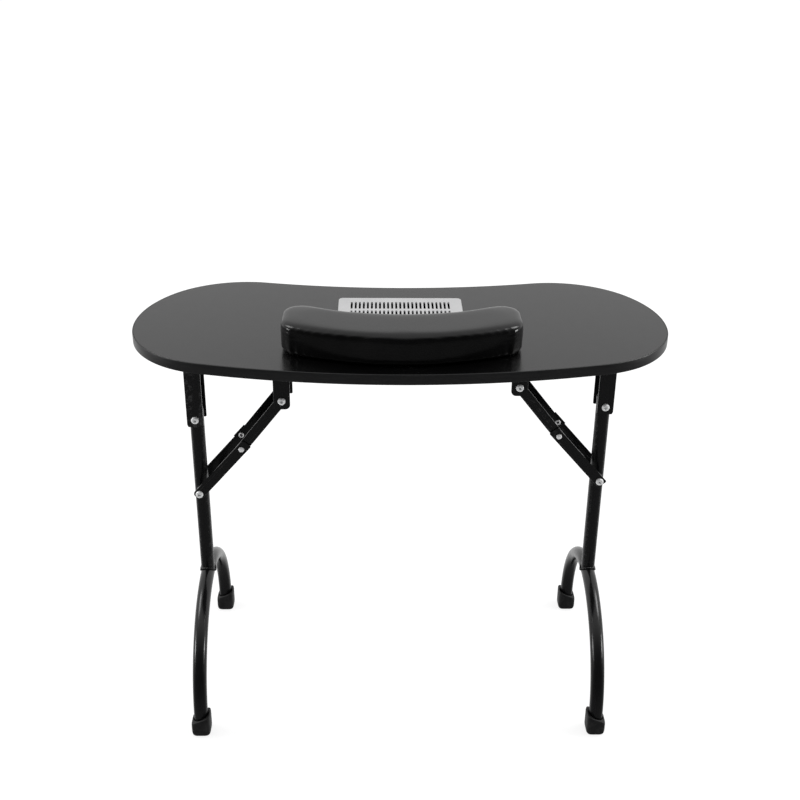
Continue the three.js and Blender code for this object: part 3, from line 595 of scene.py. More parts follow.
def black_plastic():
    """Black moulding with a fine spark-eroded texture."""
    made = Finish("black_plastic")
    made.colour(made.spread(made.noise(40, 4), 0.35, 0.7), (0.016, 0.016, 0.017), (0.026, 0.026, 0.027))
    made.patchy(0.42, 0.56, 500, 3)
    made.bump(made.cells(1500), 0.25, 0.00005)
    return made.material


def bag_cloth():
    """Plain-woven filter cloth."""
    made = Finish("bag_cloth", Sheen_Weight=0.3, Sheen_Roughness=0.5)
    weave = made.product(made.wave(420, "X", 0.4), made.wave(420, "Y", 0.4))
    shade = made.sum(made.spread(weave, 0, 0.6), made.noise(30, 5), 0.4)
    made.colour(shade, (0.008, 0.008, 0.009), (0.03, 0.03, 0.032))
    made.patchy(0.78, 0.92, 80, 3)
    made.bump(weave, 0.5, 0.0002)
    return made.material


def leather():
    """Glossy synthetic leather: pebbled grain with fine creases between the pebbles."""
    made = Finish("glossy_leather", Specular_IOR_Level=0.42)
    pebbles = made.cells(620, "SMOOTH_F1")
    creases = made.cells(260, "DISTANCE_TO_EDGE")
    grain = made.sum(pebbles, made.spread(creases, 0.0, 0.06, -0.5, 0), 0.6)
    made.colour(made.spread(made.noise(24, 5), 0.3, 0.7), (0.0018, 0.0018, 0.0019), (0.0035, 0.0035, 0.0036))
    made.patchy(0.15, 0.23, 110, 4, 0.6)
    made.bump(made.noise(38, 3, 0.5), 0.12, 0.0006)
    made.bump(grain, 0.13, 0.0001)
    return made.material


def tape():
    """The pile of hook-and-loop tape."""
    made = Finish("tape", Sheen_Weight=0.4)
    pile = made.noise(1500, 4, 0.7)
    made.colour(made.spread(pile, 0.35, 0.65), (0.004, 0.004, 0.0042), (0.02, 0.02, 0.021))
    made.patchy(0.85, 0.97, 200)
    made.bump(pile, 0.7, 0.0005)
    return made.material


def black_paint():
    """Glossy black powder coat: orange peel, and thin grey scuffs on the edges."""
    made = Finish("black_paint", Coat_Roughness=0.12)
    wear = made.worn_edges(0.56, 0.68)
    made.colour(made.spread(wear, 0.0, 1.0, 0.0, 0.5), (0.0045, 0.0045, 0.0048), (0.06, 0.06, 0.061))
    made.roughness(made.sum(made.spread(made.noise(70, 4, 0.6), 0.3, 0.7, 0.17, 0.26), wear, 0.3))
    made.bump(made.noise(420, 2, 0.4), 0.1, 0.0001)
    return made.material


def rubber():
    """Matt moulded rubber, a little dusty."""
    made = Finish("rubber", Specular_IOR_Level=0.35)
    dust = made.spread(made.noise(90, 6, 0.7), 0.45, 0.75)
    made.colour(dust, (0.008, 0.008, 0.0083), (0.021, 0.021, 0.021))
    made.patchy(0.48, 0.66, 260, 4)
    made.bump(made.noise(900, 4, 0.6), 0.3, 0.0001)
    return made.material


def zinc():
    """Bright zinc plate with faint turning marks and dull patches."""
    made = Finish("zinc", Metallic=0.3)
    patches = made.spread(made.noise(260, 5, 0.65), 0.35, 0.7)
    made.colour(patches, (0.97, 0.975, 0.98), (0.84, 0.85, 0.85))
    made.patchy(0.32, 0.46, 700, 4, 0.6)
    made.bump(made.noise(1600, 3), 0.12, 0.00004)
    return made.material


def pale_floor():
    """The studio's plain pale floor. Much of its brightness is light of its own."""
    made = Finish("pale_floor", Emission_Color=(1, 1, 1, 1), Emission_Strength=0.8)
    made.colour(made.noise(3, 4), (0.29, 0.29, 0.29), (0.31, 0.31, 0.31))
    made.patchy(0.85, 0.95, 40, 3)
    return made.material


FINISH = {
    "laminate": laminate(),
    "edge_band": edge_band(),
    "silver_plastic": silver_plastic(),
    "black_plastic": black_plastic(),
    "bag_cloth": bag_cloth(),
    "leather": leather(),
    "tape": tape(),
    "black_paint": black_paint(),
    "rubber": rubber(),
    "zinc": zinc(),
}
FINISH["board_base"] = FINISH["leather"]


# ---------------------------------------------------------------- the top and its grille
def build_top():
    def board_edge(offset):
        return top_outline(offset - BAND - GAP)

    cutout = growing_rectangle(CUTOUT["width"], CUTOUT["depth"], CUTOUT["corner"], 0, DUCT_Y)
    board = prism("tabletop", [board_edge, cutout], edge_profile(UNDERSIDE, TOP, 0.0003))
    dress(smooth(board), "table", "laminate", "tabletop_board")
    inner = fixed(top_outline(-BAND))
    band = prism("top_edge_band", [top_outline, inner], edge_profile(UNDERSIDE, TOP, 0.0011, steps=5))
    dress(smooth(band), "table", "edge_band", "edge_band")


def slot_outline(x, y):
    """A slot with round ends, as a function of its offset; only part of the offset reaches it."""
    width, length = GRILLE["slot_width"], GRILLE["slot_length"]

    def outline(offset):
        radius = width / 2 + 0.3 * offset
        reach = length / 2 - width / 2
        return arc(x, y + reach, radius, 0, pi, 6) + arc(x, y - reach, radius, pi, tau, 6)

    return outline


def build_grille():
    low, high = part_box("grille")
    rim = growing_rectangle(high.x - low.x, high.y - low.y, GRILLE["corner"], 0, DUCT_Y)
    middle = (GRILLE["slots"] - 1) / 2
    columns = [(i - middle) * GRILLE["pitch"] for i in range(GRILLE["slots"])]
    slots = [slot_outline(x, y) for y in GRILLE["rows"] for x in columns]
    face = prism("dust_grille", [rim, *slots], edge_profile(TOP + GAP, high.z, 0.001, 4, foot=0))
    width, depth = CUTOUT["width"] - 2 * GAP, CUTOUT["depth"] - 2 * GAP
    wall = GRILLE["lip_wall"]
    outer = growing_rectangle(width, depth, CUTOUT["corner"], 0, DUCT_Y)
    inner = growing_rectangle(width - 2 * wall, depth - 2 * wall, CUTOUT["corner"] - wall, 0, DUCT_Y)
    lip = prism("lip", [outer, inner], edge_profile(low.z, TOP + 2 * GAP, 0, foot=0.0005))
    dress(smooth(add(face, lip), 28), "table", "silver_plastic", "grille")


# ---------------------------------------------------------------- the dust collector
def pan_head(name, radius, height, place):
    """A small pan-head screw with a cross recess, its head up."""
    shoulder = PAN_HEAD["shoulder"]
    dome = [(radius * cos(a), height * (shoulder + (1 - shoulder) * sin(a))) for a in (0, 0.4, 0.8, 1.2)]
    head = lathe(name, [(0, 0), (radius, 0), *dome, (0, height)], 32)
    arm, half = radius * PAN_HEAD["arm"], radius * PAN_HEAD["half"]
    for wide, deep in ((arm, half), (half, arm)):
        cut(head, box("recess", -wide, wide, -deep, deep, height * PAN_HEAD["floor"], height * 2))
    return turned(head, place)


def build_housing():
    low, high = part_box("collector_housing")
    width, depth, wall = HOUSING["width"], HOUSING["depth"], HOUSING["wall"]
    flange, corner = HOUSING["flange"], HOUSING["corner"]
    outline = growing_rectangle(width, depth, corner, 0, DUCT_Y)
    tub = prism("collector_tub", [outline], edge_profile(low.z, high.z, 0, foot=0.0015))
    rim = growing_rectangle(width + 2 * flange, depth + 2 * flange, corner + flange / 2, 0, DUCT_Y)

    def rib(i, side, on_long_wall):
        start = DUCT_Y + side * depth / 2 if on_long_wall else side * width / 2
        spot = i * RIB["pitch"] if on_long_wall else DUCT_Y + i * RIB["pitch"]
        reach = sorted((start, start + side * flange * RIB["reach"]))
        faces = (spot - RIB["half"], spot + RIB["half"])
        plan = (*faces, *reach) if on_long_wall else (*reach, *faces)
        return box("rib", *plan, low.z + RIB["foot"], high.z - RIB["below"])

    ribs = [rib(i, side, True) for i in range(-2, 3) for side in (-1, 1)]
    ribs += [rib(i, side, False) for i in (-1, 0, 1) for side in (-1, 1)]
    add(tub, prism("flange", [rim], edge_profile(high.z - wall, high.z, 0, foot=0.0006)), *ribs)
    hollow = growing_rectangle(width - 2 * wall, depth - 2 * wall, corner - wall, 0, DUCT_Y)
    fan_hole = fixed(circle(HOUSING["fan_hole"], 64, 0, DUCT_Y))
    rear = DUCT_Y + depth / 2
    switch, inlet = node_centre("switch_bezel"), node_centre("power_inlet")
    half_x, half_z = SWITCH["body_x"] / 2 + GAP, SWITCH["body_z"] / 2 + GAP
    inlet_hole = cross_cylinder(inlet.x, inlet.z, INLET["body"] + GAP, 0.005)
    across, upright = (switch.x - half_x, switch.x + half_x), (switch.z - half_z, switch.z + half_z)
    cut(
        tub,
        prism("hollow", [hollow], [(0, low.z + wall), (0, high.z + wall)]),
        prism("fan_hole", [fan_hole], [(0, low.z - wall), (0, low.z + 2 * wall)]),
        box("window", *across, rear - 2 * wall, rear + wall, *upright),
        turned(inlet_hole, Matrix.Translation((0, rear, 0))),
    )
    dress(soften(tub, 0.0003), "table", "black_plastic", "collector_housing")
    for number in range(1, 5):
        low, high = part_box(f"housing_screw_{number}")
        centre = (low + high) / 2
        flip = Matrix.Translation((centre.x, centre.y, high.z)) @ Matrix.Rotation(pi, 4, "X")
        screw = pan_head(f"collector_screw_{number}", (high.x - low.x) / 2, high.z - low.z, flip)
        dress(smooth(screw), "table", "zinc", f"housing_screw_{number}")


def fan_blade(hub, tip, height):
    """One blade, cambered and twisted, as a loft from the hub to its tip."""
    rings = []
    for i in range(9):
        share = i / 8
        radius = hub + (tip - hub) * share
        pitch = radians(BLADE["pitch"] - BLADE["twist"] * share)
        chord = BLADE["chord"] + BLADE["widening"] * share
        ring = []
        for t in angles(24):
            along = chord / 2 * cos(t)
            up = BLADE["camber"] * (1 - cos(t) ** 2) + BLADE["thickness"] * sin(t)
            across = along * cos(pitch) - up * sin(pitch)
            z = along * sin(pitch) + up * cos(pitch)
            angle = across / radius + BLADE["sweep"] * share
            z = max(-height / 2, min(height / 2, z))
            ring.append(Vector((radius * cos(angle), radius * sin(angle), z)))
        rings.append(ring)
    return loft("blade", rings)


def build_fan():
    low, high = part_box("fan_frame")
    size, depth = high.x - low.x, high.z - low.z
    place = Matrix.Translation((0, DUCT_Y, low.z))
    flange, screw = FAN["flange"], FAN["screw"]
    holes = [growing_circle(FAN["bore"])]
    holes += [growing_circle(0.0022, 24, sx * screw, sy * screw) for sx in (-1, 1) for sy in (-1, 1)]
    square = growing_rectangle(size, size, 0.007)
    body = prism("fan_housing", [square, *holes], edge_profile(0, flange, 0.0004, 2))
    upper = prism("upper", [square, *holes], edge_profile(depth - flange, depth, 0.0004, 2))
    barrel_ring = [growing_circle(size / 2 - 0.0006, 96), growing_circle(FAN["bore"])]
    barrel = prism("barrel", barrel_ring, [(0, flange / 2), (0, depth - flange / 2)])
    spokes = [prism("boss", [growing_circle(FAN["hub"] + 0.001, 64)], edge_profile(0, 0.003, 0.0004, 2))]
    for i in range(4):
        arm = box("arm", FAN["hub"] - 0.002, FAN["bore"] + 0.0008, -0.002, 0.002, 0, 0.003)
        spokes.append(turned(arm, Matrix.Rotation(radians(45 + 90 * i), 4, "Z")))
    add(body, upper, barrel, *spokes)
    dress(smooth(turned(body, place)), "table", "black_plastic", "fan_frame")

    motor_low, motor_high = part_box("fan_motor")
    radius = (motor_high.x - motor_low.x) / 2
    height = motor_high.z - motor_low.z
    can = [(0, 0), (radius - 0.001, 0), (radius, 0.001), (radius, height - 0.002)]
    can += [(radius - 0.002, height), (0, height)]
    motor = lathe("fan_motor_can", can, 48, Matrix.Translation((0, DUCT_Y, motor_low.z)))
    dress(smooth(motor), "table", "black_plastic", "fan_motor")

    rotor_low, rotor_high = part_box("fan_rotor")
    hub = FAN["hub"]
    bottom = max(rotor_low.z, low.z + 0.004)
    tall = rotor_high.z - bottom
    inner = hub - 0.002
    cap = [(inner, 0), (hub, 0), (hub, tall - 0.003), (hub - 0.0012, tall - 0.0008), (hub - 0.003, tall)]
    cap += [(0, tall), (0, tall - 0.004), (inner, tall - 0.004), (inner, 0)]
    rotor = lathe("fan_impeller", cap, 64)
    for i in range(FAN["blades"]):
        blade = fan_blade(hub - 0.001, FAN["tip"], tall - 0.001)
        spin = Matrix.Rotation(tau * i / FAN["blades"], 4, "Z")
        add(rotor, turned(blade, Matrix.Translation((0, 0, tall / 2)) @ spin))
    turned(rotor, Matrix.Translation((0, DUCT_Y, bottom)))
    dress(smooth(rotor, 40), "rotor", "black_plastic", "fan_rotor")


def build_controls():
    low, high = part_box("switch_bezel")
    centre = (low + high) / 2
    rear = high.y - 0.002
    face = Matrix.Translation((centre.x, rear, centre.z)) @ Matrix.Rotation(pi, 4, "Z") @ ALONG_Y
    well_x, well_z, well_depth = SWITCH["well_x"], SWITCH["well_z"], SWITCH["well_depth"]
    outline = growing_rectangle(high.x - low.x, high.z - low.z, 0.002)
    bezel = prism("switch_frame", [outline], edge_profile(0, 0.002, 0.0007, 3, foot=0))
    body = growing_rectangle(SWITCH["body_x"], SWITCH["body_z"], 0.001)
    add(bezel, prism("body", [body], [(0, -SWITCH["body_depth"]), (0, 0.001)]))
    well = growing_rectangle(2 * well_x, 2 * well_z, 0.0008)
    cut(bezel, prism("well", [well], [(0, -well_depth), (0, 0.003)]))
    dress(smooth(turned(bezel, face)), "table", "black_plastic", "switch_bezel")

    pivot = Vector(JOINTS["switch_rock"]["pos_m"])
    half_x, half_z = ROCKER["half_x"], ROCKER["half_z"]
    steps = 12
    dish = []
    for i in range(steps + 1):
        dip = ROCKER["dish"] * (1 - (2 * i / steps - 1) ** 2)
        dish.append((half_x - 2 * half_x * i / steps, ROCKER["lip"] - dip))
    end, back = ROCKER["end"], ROCKER["back"]
    side = [(-half_x, end), (-half_x / 2, back), (half_x / 2, back), (half_x, end), *dish]
    rocker = prism("rocker", [fixed(side)], [(0, -half_z), (0, half_z)])
    soften(rocker, 0.0004, 3)
    tilt = Matrix.Rotation(radians(8), 4, "Z")
    turned(rocker, Matrix.Translation(pivot) @ tilt)
    dress(rocker, "rocker", "black_plastic", "switch_rocker")

    low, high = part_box("power_inlet")
    centre = (low + high) / 2
    depth, proud, flange = INLET["depth"], INLET["proud"], INLET["flange"]
    socket, stem, floor = INLET["socket"], INLET["body"], 0.002 - INLET["depth"]
    profile = [(0, floor), (socket, floor), (socket, proud - 0.0004), (socket + 0.0004, proud)]
    profile += [(flange - 0.001, proud), (flange - 0.0003, proud - 0.0003), (flange, proud - 0.001)]
    profile += [(flange, 0), (stem, 0), (stem, -depth), (0, -depth)]
    place = Matrix.Translation((centre.x, high.y - proud, centre.z))
    outwards = place @ Matrix.Rotation(pi, 4, "Z") @ ALONG_Y
    dress(smooth(lathe("power_jack", profile, 48, outwards)), "table", "black_plastic", "power_inlet")
    pin = [(0, floor), (0.001, floor), (0.001, -0.0006), (0.0006, 0), (0, 0)]
    dress(smooth(lathe("power_jack_pin", pin, 24, outwards)), "table", "zinc")


# ---------------------------------------------------------------- soft goods
def evened(piece, moves, rounds):
    """Evens out how far each point moves, from neighbour to neighbour, which takes small ripples away."""
    beside = [[] for _ in moves]
    for edge in piece.data.edges:
        first, second = edge.vertices
        beside[first].append(second)
        beside[second].append(first)
    for _ in range(rounds):
        totals = [move + sum((moves[k] for k in near), Vector()) for move, near in zip(moves, beside)]
        moves = [total / (1 + len(near)) for total, near in zip(totals, beside)]
    return moves


def puffed(piece, voxel, pressure, cap, rounds=0):
    """Voxel remesh, then a short cloth simulation under pressure. No point moves more than cap."""
    remesh = piece.modifiers.new("remesh", "REMESH")
    remesh.mode = "VOXEL"
    remesh.voxel_size = voxel
    apply_modifiers(piece)
    start = [vertex.co.copy() for vertex in piece.data.vertices]
    scene = bpy.context.scene
    frames = 20
    cloth = piece.modifiers.new("cloth", "CLOTH")
    cloth.settings.use_pressure = True
    cloth.settings.uniform_pressure_force = pressure
    cloth.settings.effector_weights.gravity = 0
    cloth.point_cache.frame_start = 1
    cloth.point_cache.frame_end = frames
    for step in range(1, frames + 1):
        scene.frame_set(step)
    apply_modifiers(piece)
    scene.frame_set(1)
    moves = evened(piece, [vertex.co - rest for vertex, rest in zip(piece.data.vertices, start)], rounds)
    for vertex, rest, move in zip(piece.data.vertices, start, moves):
        vertex.co = rest + move * min(1, cap / max(move.length, 1e-9))
    divide = piece.modifiers.new("divide", "SUBSURF")
    divide.levels = 1
    apply_modifiers(piece)
    return piece


def fit_to(piece, low, high, stand_proud=0.0, flat_below=0.0):
    """Flattens a soft piece's underside and scales the piece to a box."""
    points = [vertex.co for vertex in piece.data.vertices]
    start = Vector([min(p[i] for p in points) for i in range(3)])
    start.z += flat_below
    for point in points:
        point.z = max(point.z, start.z)
    end = Vector([max(p[i] for p in points) for i in range(3)])
    proud = Vector((stand_proud, stand_proud, 0))
    for point in points:
        for i in range(3):
            share = (point[i] - start[i]) / (end[i] - start[i])
            point[i] = low[i] - proud[i] + share * (high[i] - low[i] + 2 * proud[i])
    piece.data.update()
    return piece


def smoothstep(value, low, high):
    share = min(max((value - low) / (high - low), 0), 1)
    return share * share * (3 - 2 * share)


def gather_corners(piece, low, high):
    """Pulls the leather in at the rounded corners: small folds that open towards the bottom, where
    the cover is tucked under, and two soft creases along each shoulder."""
    corner = CUSHION["fold_corner"]
    height = high.z - low.z
    centre_y = CUSHION["front_y"] + CUSHION["depth"] / 2
    straight_x = CUSHION["length"] / 2 - corner
    straight_y = CUSHION["depth"] / 2 - corner
    for vertex in piece.data.vertices:
        point = vertex.co
        side_x = copysign(1, point.x)
        y = point.y - cushion_bend(min(abs(point.x), CUSHION["length"] / 2)) - centre_y
        side_y = copysign(1, y)
        out = Vector((abs(point.x) - straight_x, abs(y) - straight_y))
        if min(out) < FOLDS["from_corner"]:
            continue
        angle = atan2(out.y, out.x)
        at_corner = smoothstep(angle, -0.35, 0.25) * smoothstep(-angle, -1.92, -1.32)
        at_skin = smoothstep(out.length, corner * 0.55, corner * 0.92)
        level = (point.z - low.z) / height
        folds = 0.5 + 0.5 * cos(FOLDS["count"] * angle + 2.2 * side_x + 1.1 * side_y + 0.6 * sin(5 * angle))
        tuck = FOLDS["depth"] * folds * (1 - smoothstep(level, 0.0, 0.62))
        crease = exp(-(((level - 0.7 - 0.05 * sin(3 * angle + side_x)) / 0.035) ** 2))
        crease += 0.7 * exp(-(((level - 0.57 + 0.06 * sin(2 * angle - side_x)) / 0.03) ** 2))
        pull = at_corner * at_skin * (tuck + FOLDS["crease"] * crease)
        if out.length > 1e-6:
            inward = -pull * out / out.length
            point.x += side_x * inward.x
            point.y += side_y * inward.y
    piece.data.update()


def build_cushion():
    low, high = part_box("cushion_pad")
    base_low, base_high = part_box("cushion_base")
    low.z = base_low.z - CUSHION["drop"]
    smaller = 0.0025
    edge = 0.0095
    pad = prism(
        "wrist_cushion",
        [lambda offset: cushion_outline(smaller - offset)],
        edge_profile(low.z, high.z - 0.002, edge, 6, foot=0.0025),
    )
    puffed(pad, 0.005, 4.0, 0.0028, rounds=10)
    fit_to(pad, low, high, stand_proud=0.0006, flat_below=0.001)
    gather_corners(pad, low, high)
    # The leather is wrapped round the base board, which sits in a recess.
    recess = prism(
        "recess",
        [lambda offset: cushion_outline(CUSHION["tuck"] - GAP - offset)],
        edge_profile(low.z - 0.002, base_high.z + GAP, 0, foot=0),
    )
    cut(pad, recess)
    dress(smooth(pad, 60), "cushion", "leather", "cushion_pad")

    base = prism(
        "cushion_board",
        [lambda offset: cushion_outline(CUSHION["tuck"] - offset)],
        edge_profile(base_low.z, base_high.z, 0.0012, 3),
    )
    dress(smooth(base), "cushion", "board_base", "cushion_base")
    for side in SIDES:
        for kind in ("loop", "hook"):
            node = frame["nodes"][f"{kind}_tape_{side}"]
            node.data.materials.clear()
            node.data.materials.append(FINISH["tape"])


def build_bag():
    low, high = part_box("bag_collar")
    height = high.z - low.z
    outer, inner = (high.x - low.x) / 2, 0.055
    flare = [(inner, 0), (outer - 0.0006, 0), (outer, 0.0006), (outer, 0.0018), (outer - 0.0012, 0.0024)]
    profile = [*flare, *[(radius, height - z) for radius, z in reversed(flare)], (inner, 0)]
    collar = lathe("bag_ring", profile, 96, Matrix.Translation((0, DUCT_Y, low.z)))
    dress(smooth(collar), "table", "black_plastic", "bag_collar")

    low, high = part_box("dust_bag")
    half = (high - low) / 2
    rings = []
    profile = [(0.04, 0.03), (0.6, 0.0), (0.84, 0.12), (0.955, 0.35)]
    profile += [(0.97, 0.55), (0.9, 0.8), (0.7, 0.97), (0.04, 1)]
    for share, level in profile:
        ring = []
        for angle in angles(96):
            squared = (abs(cos(angle)) ** 3 + abs(sin(angle)) ** 3) ** (-1 / 3)
            spread = share * (squared if share > 0.8 else 1)
            spread = min(spread, share * 1.08)
            x = spread * half.x * BAG["fullness"] * cos(angle)
            y = spread * half.y * BAG["fullness"] * sin(angle)
            ring.append(Vector((x, DUCT_Y + y, low.z + level * 2 * half.z)))
        rings.append(ring)
    bag = loft("filter_bag", rings)
    puffed(bag, 0.004, 3.0, 0.004)
    for vertex in bag.data.vertices:
        point = vertex.co
        x, y = point.x, point.y - DUCT_Y
        angle = atan2(y / half.y, x / half.x)
        radius = hypot(x / half.x, y / half.y)
        gather = cos(BAG["pleats"] * angle + 1.5 * sin(3 * angle)) * smoothstep(radius, 0.35, 0.72)
        gather *= 1 - smoothstep(radius, 0.8, 1.0)
        sag = 0.6 * sin(4 * angle + 1.0) + 0.4 * sin(7 * angle)
        point.z += BAG["pleat"] * gather + BAG["sag"] * sag * smoothstep(radius, 0.5, 0.95)
    fit_to(bag, *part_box("dust_bag"))
    dress(smooth(bag, 60), "table", "bag_cloth", "dust_bag")
    rings = []
    for angle in angles(160):
        direction = Vector((cos(angle), sin(angle) * half.y / half.x, 0)).normalized()
        point = max(bag.data.vertices, key=lambda v: (v.co - Vector((0, DUCT_Y, 0))).dot(direction)).co
        outward = Vector((point.x, point.y - DUCT_Y, 0)).normalized()
        rings.append(hoop(point - BAG["inset"] * outward, BAG["piping"], outward, UP, 8))
    piping = loft("filter_bag_seam", rings, closed=True)
    dress(smooth(piping, 60), "table", "bag_cloth")


# ---------------------------------------------------------------- legs
def saddle_height(x, y):
    """The height of the arch tube's upper surface under a point of the post."""
    reach = ARCH["radius"] + sqrt(max(TUBE**2 - x**2, 0))
    return ARCH["centre_z"] + sqrt(reach**2 - y**2)


def build_post(side, pivot, leg_pin):
    x = pivot.x
    top = pivot.z + HEEL
    wall_rings = []
    for radius, at_top in ((TUBE, False), (TUBE, True), (BORE, True), (BORE, False)):
        ring = []
        for px, py in circle(radius, 48):
            z = top if at_top else saddle_height(px, py) + 0.0002
            ring.append(Vector((x + px, py, z)))
        wall_rings.append(ring)
    post = loft(f"{side}_post", wall_rings, closed=True)
    link_space = LOWER_LINK["width"] - 2 * LOWER_LINK["wall"]
    for pin, space in ((pivot, LEG_BRACKET["inner"]), (leg_pin, link_space)):
        add(post, cross_cylinder(x, pin.z, SLEEVE, space / 2 - GAP, 40))
        cut(post, cross_cylinder(x, pin.z, BOLT["hole"]))
    dress(smooth(post), f"{side}_leg", "black_paint", f"{side}_leg_post")

    low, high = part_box(f"{side}_post_plug")
    radius = BORE - GAP
    edge = (high.x - low.x) / 2
    tall = high.z - low.z
    brim = [(edge, tall - 0.002), (edge, tall - 0.0014), (edge - 0.0006, tall - 0.0006)]
    brim += [(edge - 0.003, tall), (0, tall)]
    plug = lathe(f"{side}_post_cap", [(0, 0), (radius, 0), (radius, tall - 0.002), *brim], 48)
    place = Matrix.Translation((x, 0, low.z))
    dress(smooth(turned(plug, place)), f"{side}_leg", "black_plastic", f"{side}_post_plug")

    rings = []
    for angle in angles(220):
        out = Vector((cos(angle), sin(angle), 0))
        foot = Vector((x, 0, 0)) + (TUBE + WELD["out"]) * out
        foot.z = saddle_height(TUBE * out.x, TUBE * out.y) + WELD["up"]
        ripple = 0.1 * sin(WELD["ripples"] * angle + sin(3 * angle))
        bead = WELD["bead"] * (1 + ripple + 0.08 * sin(5 * angle))
        rings.append(hoop(foot, bead, out, UP, 10))
    weld = loft(f"{side}_weld", rings, closed=True)
    dress(smooth(weld, 60), f"{side}_leg", "black_paint")


def build_arch(side, x):
    bottom = FOOT["floor"] + GAP
    radius, centre_z = ARCH["radius"], ARCH["centre_z"]
    path = [(-radius, bottom + (centre_z - bottom) * k / 5, -pi) for k in range(5)]
    for k in range(97):
        angle = pi - pi * k / 96
        path.append((radius * cos(angle), centre_z + radius * sin(angle), -angle))
    path += [(radius, centre_z - (centre_z - bottom) * k / 5, 0) for k in range(1, 6)]

    def ring(size, y, z, outwards):
        out = Vector((0, cos(outwards), -sin(outwards)))
        return hoop(Vector((x, y, z)), size, out, Vector((1, 0, 0)), 40)

    rings = [ring(TUBE, *place) for place in path] + [ring(BORE, *place) for place in reversed(path)]
    arch = loft(f"{side}_arch", rings, closed=True)
    dress(smooth(arch), f"{side}_leg", "black_paint", f"{side}_foot_arch")


def build_foot(side, sign, x, place, y):
    half_x, half_y, square = FOOT["half_x"], FOOT["half_y"], FOOT["square"]
    high, low = FOOT["high"], FOOT["low"]
    rows = [(0.0, 0.0), (0.8, 0.0), (0.88, 0.0006), (0.94, 0.0022), (0.98, 0.005), (1.0, 0.009), (1.0, 0.018)]
    rim = [(1.0, -0.0055), (0.992, -0.0035), (0.972, -0.0016), (0.945, -0.0005), (0.91, 0.0)]
    sides = 72

    def outline(share):
        points = []
        for a in angles(sides):
            power = abs(cos(a)) ** square + abs(sin(a)) ** square
            stretch = max(share, 1e-9) * power ** (-1 / square)
            points.append((stretch * half_x * cos(a), stretch * half_y * sin(a)))
        return points

    def level(points, z):
        return [Vector((px, py, z)) for px, py in points]

    def below_rim(points, drop):
        """The rim slopes down towards the table's end."""
        slope = sign * (high - low)
        return [Vector((px, py, (high + low) / 2 - px * slope / (2 * half_x) + drop)) for px, py in points]

    bore = FOOT["bore"]
    rings = [level(outline(share), z) for share, z in rows]
    rings += [below_rim(outline(share), drop) for share, drop in rim]
    rings += [below_rim(circle(bore + 0.0008, sides), -0.0001), below_rim(circle(bore, sides), -0.0009)]
    rings += [level(circle(radius, sides), FOOT["floor"]) for radius in (bore, 1e-9)]
    foot = loft(f"{side}_{place}_foot", rings, caps=False)
    turned(foot, Matrix.Translation((x, y, 0)))
    dress(smooth(foot, 40), f"{side}_leg", "rubber", f"{side}_foot_{place}")


# ---------------------------------------------------------------- pressed channels
def channel_section(width, depth, wall, bend=0.003):
    """A U: (across, up) with its web at up = 0 and its open edges at up = depth."""
    half = width / 2
    inner = max(bend - wall, 0.0006)
    quarter = pi / 2
    outside = arc(-half + bend, bend, bend, pi, 3 * quarter, 5)
    outside += arc(half - bend, bend, bend, -quarter, 0, 5)
    inside = arc(half - wall - inner, wall + inner, inner, 0, -quarter, 5)
    inside += arc(-half + wall + inner, wall + inner, inner, -quarter, -pi, 5)
    return [(-half, depth), *outside, (half, depth), (half - wall, depth), *inside, (-half + wall, depth)]


def silhouette(points, front=-0.05, rear=0.05):
    """A solid along Y with the outline given in X and Z."""
    return prism("silhouette", [fixed(points)], [(0, -rear), (0, -front)], ALONG_Y)


def build_bracket(name, size, sign, pin, node):
    """A channel that hangs from a screwed plate. Its web faces the table's end."""
    inner, wall = size["inner"], BRACKET_WALL
    chamfer_x, chamfer_z = size["chamfer"]
    web = pin.x + sign * size["out"]
    open_side = pin.x - sign * size["in"]
    top = UNDERSIDE - GAP
    bottom = pin.z - size["below"]
    section = channel_section(inner + 2 * wall, abs(open_side - web), wall)
    plan = [(web - sign * up, across) for across, up in section]
    bracket = prism(name, [fixed(plan)], [(0, bottom - 0.01), (0, top)])

    def outline(corner):
        last = 0 if sign < 0 else -pi
        points = [(web, top + 0.001), (web, bottom + chamfer_z), (web - sign * chamfer_x, bottom)]
        points += arc(open_side + sign * corner, bottom + corner, corner, -pi / 2, last, 10)
        return [*points, (open_side, top + 0.001)]

    front = silhouette(outline(size["corner"]), rear=0)
    combine(bracket, "INTERSECT", add(front, silhouette(outline(size["rear_corner"]), front=-0.001)))
    half = inner / 2
    cut(
        bracket,
        box("web_cut", web - 2 * wall, web + 2 * wall, -half, half, bottom - 0.001, pin.z + size["web_stop"]),
        cross_cylinder(pin.x, pin.z, BOLT["hole"]),
    )
    depth = inner + 2 * wall + 2 * PLATE["lug"]
    plate = growing_rectangle(PLATE["width"], depth, PLATE["corner"], pin.x, 0)
    add(bracket, prism("plate", [plate], [(0, top - PLATE["thickness"]), (0, top)]))
    dress(soften(bracket), "table", "black_paint", node)
    screws = None
    under = top - PLATE["thickness"]
    for sx in (-1, 1):
        for sy in (-1, 1):
            spot = (pin.x + sx * (PLATE["width"] / 2 - 0.0058), sy * (depth / 2 - 0.0085), under)
            flip = Matrix.Translation(spot) @ Matrix.Rotation(pi, 4, "X")
            flip = flip @ Matrix.Rotation(0.5 + sx + 2 * sy, 4, "Z")
            screw = pan_head(f"{name}_screws", 0.0036, 0.0019, flip)
            screws = add(screws, screw) if screws else screw
    dress(smooth(screws), "table", "zinc")


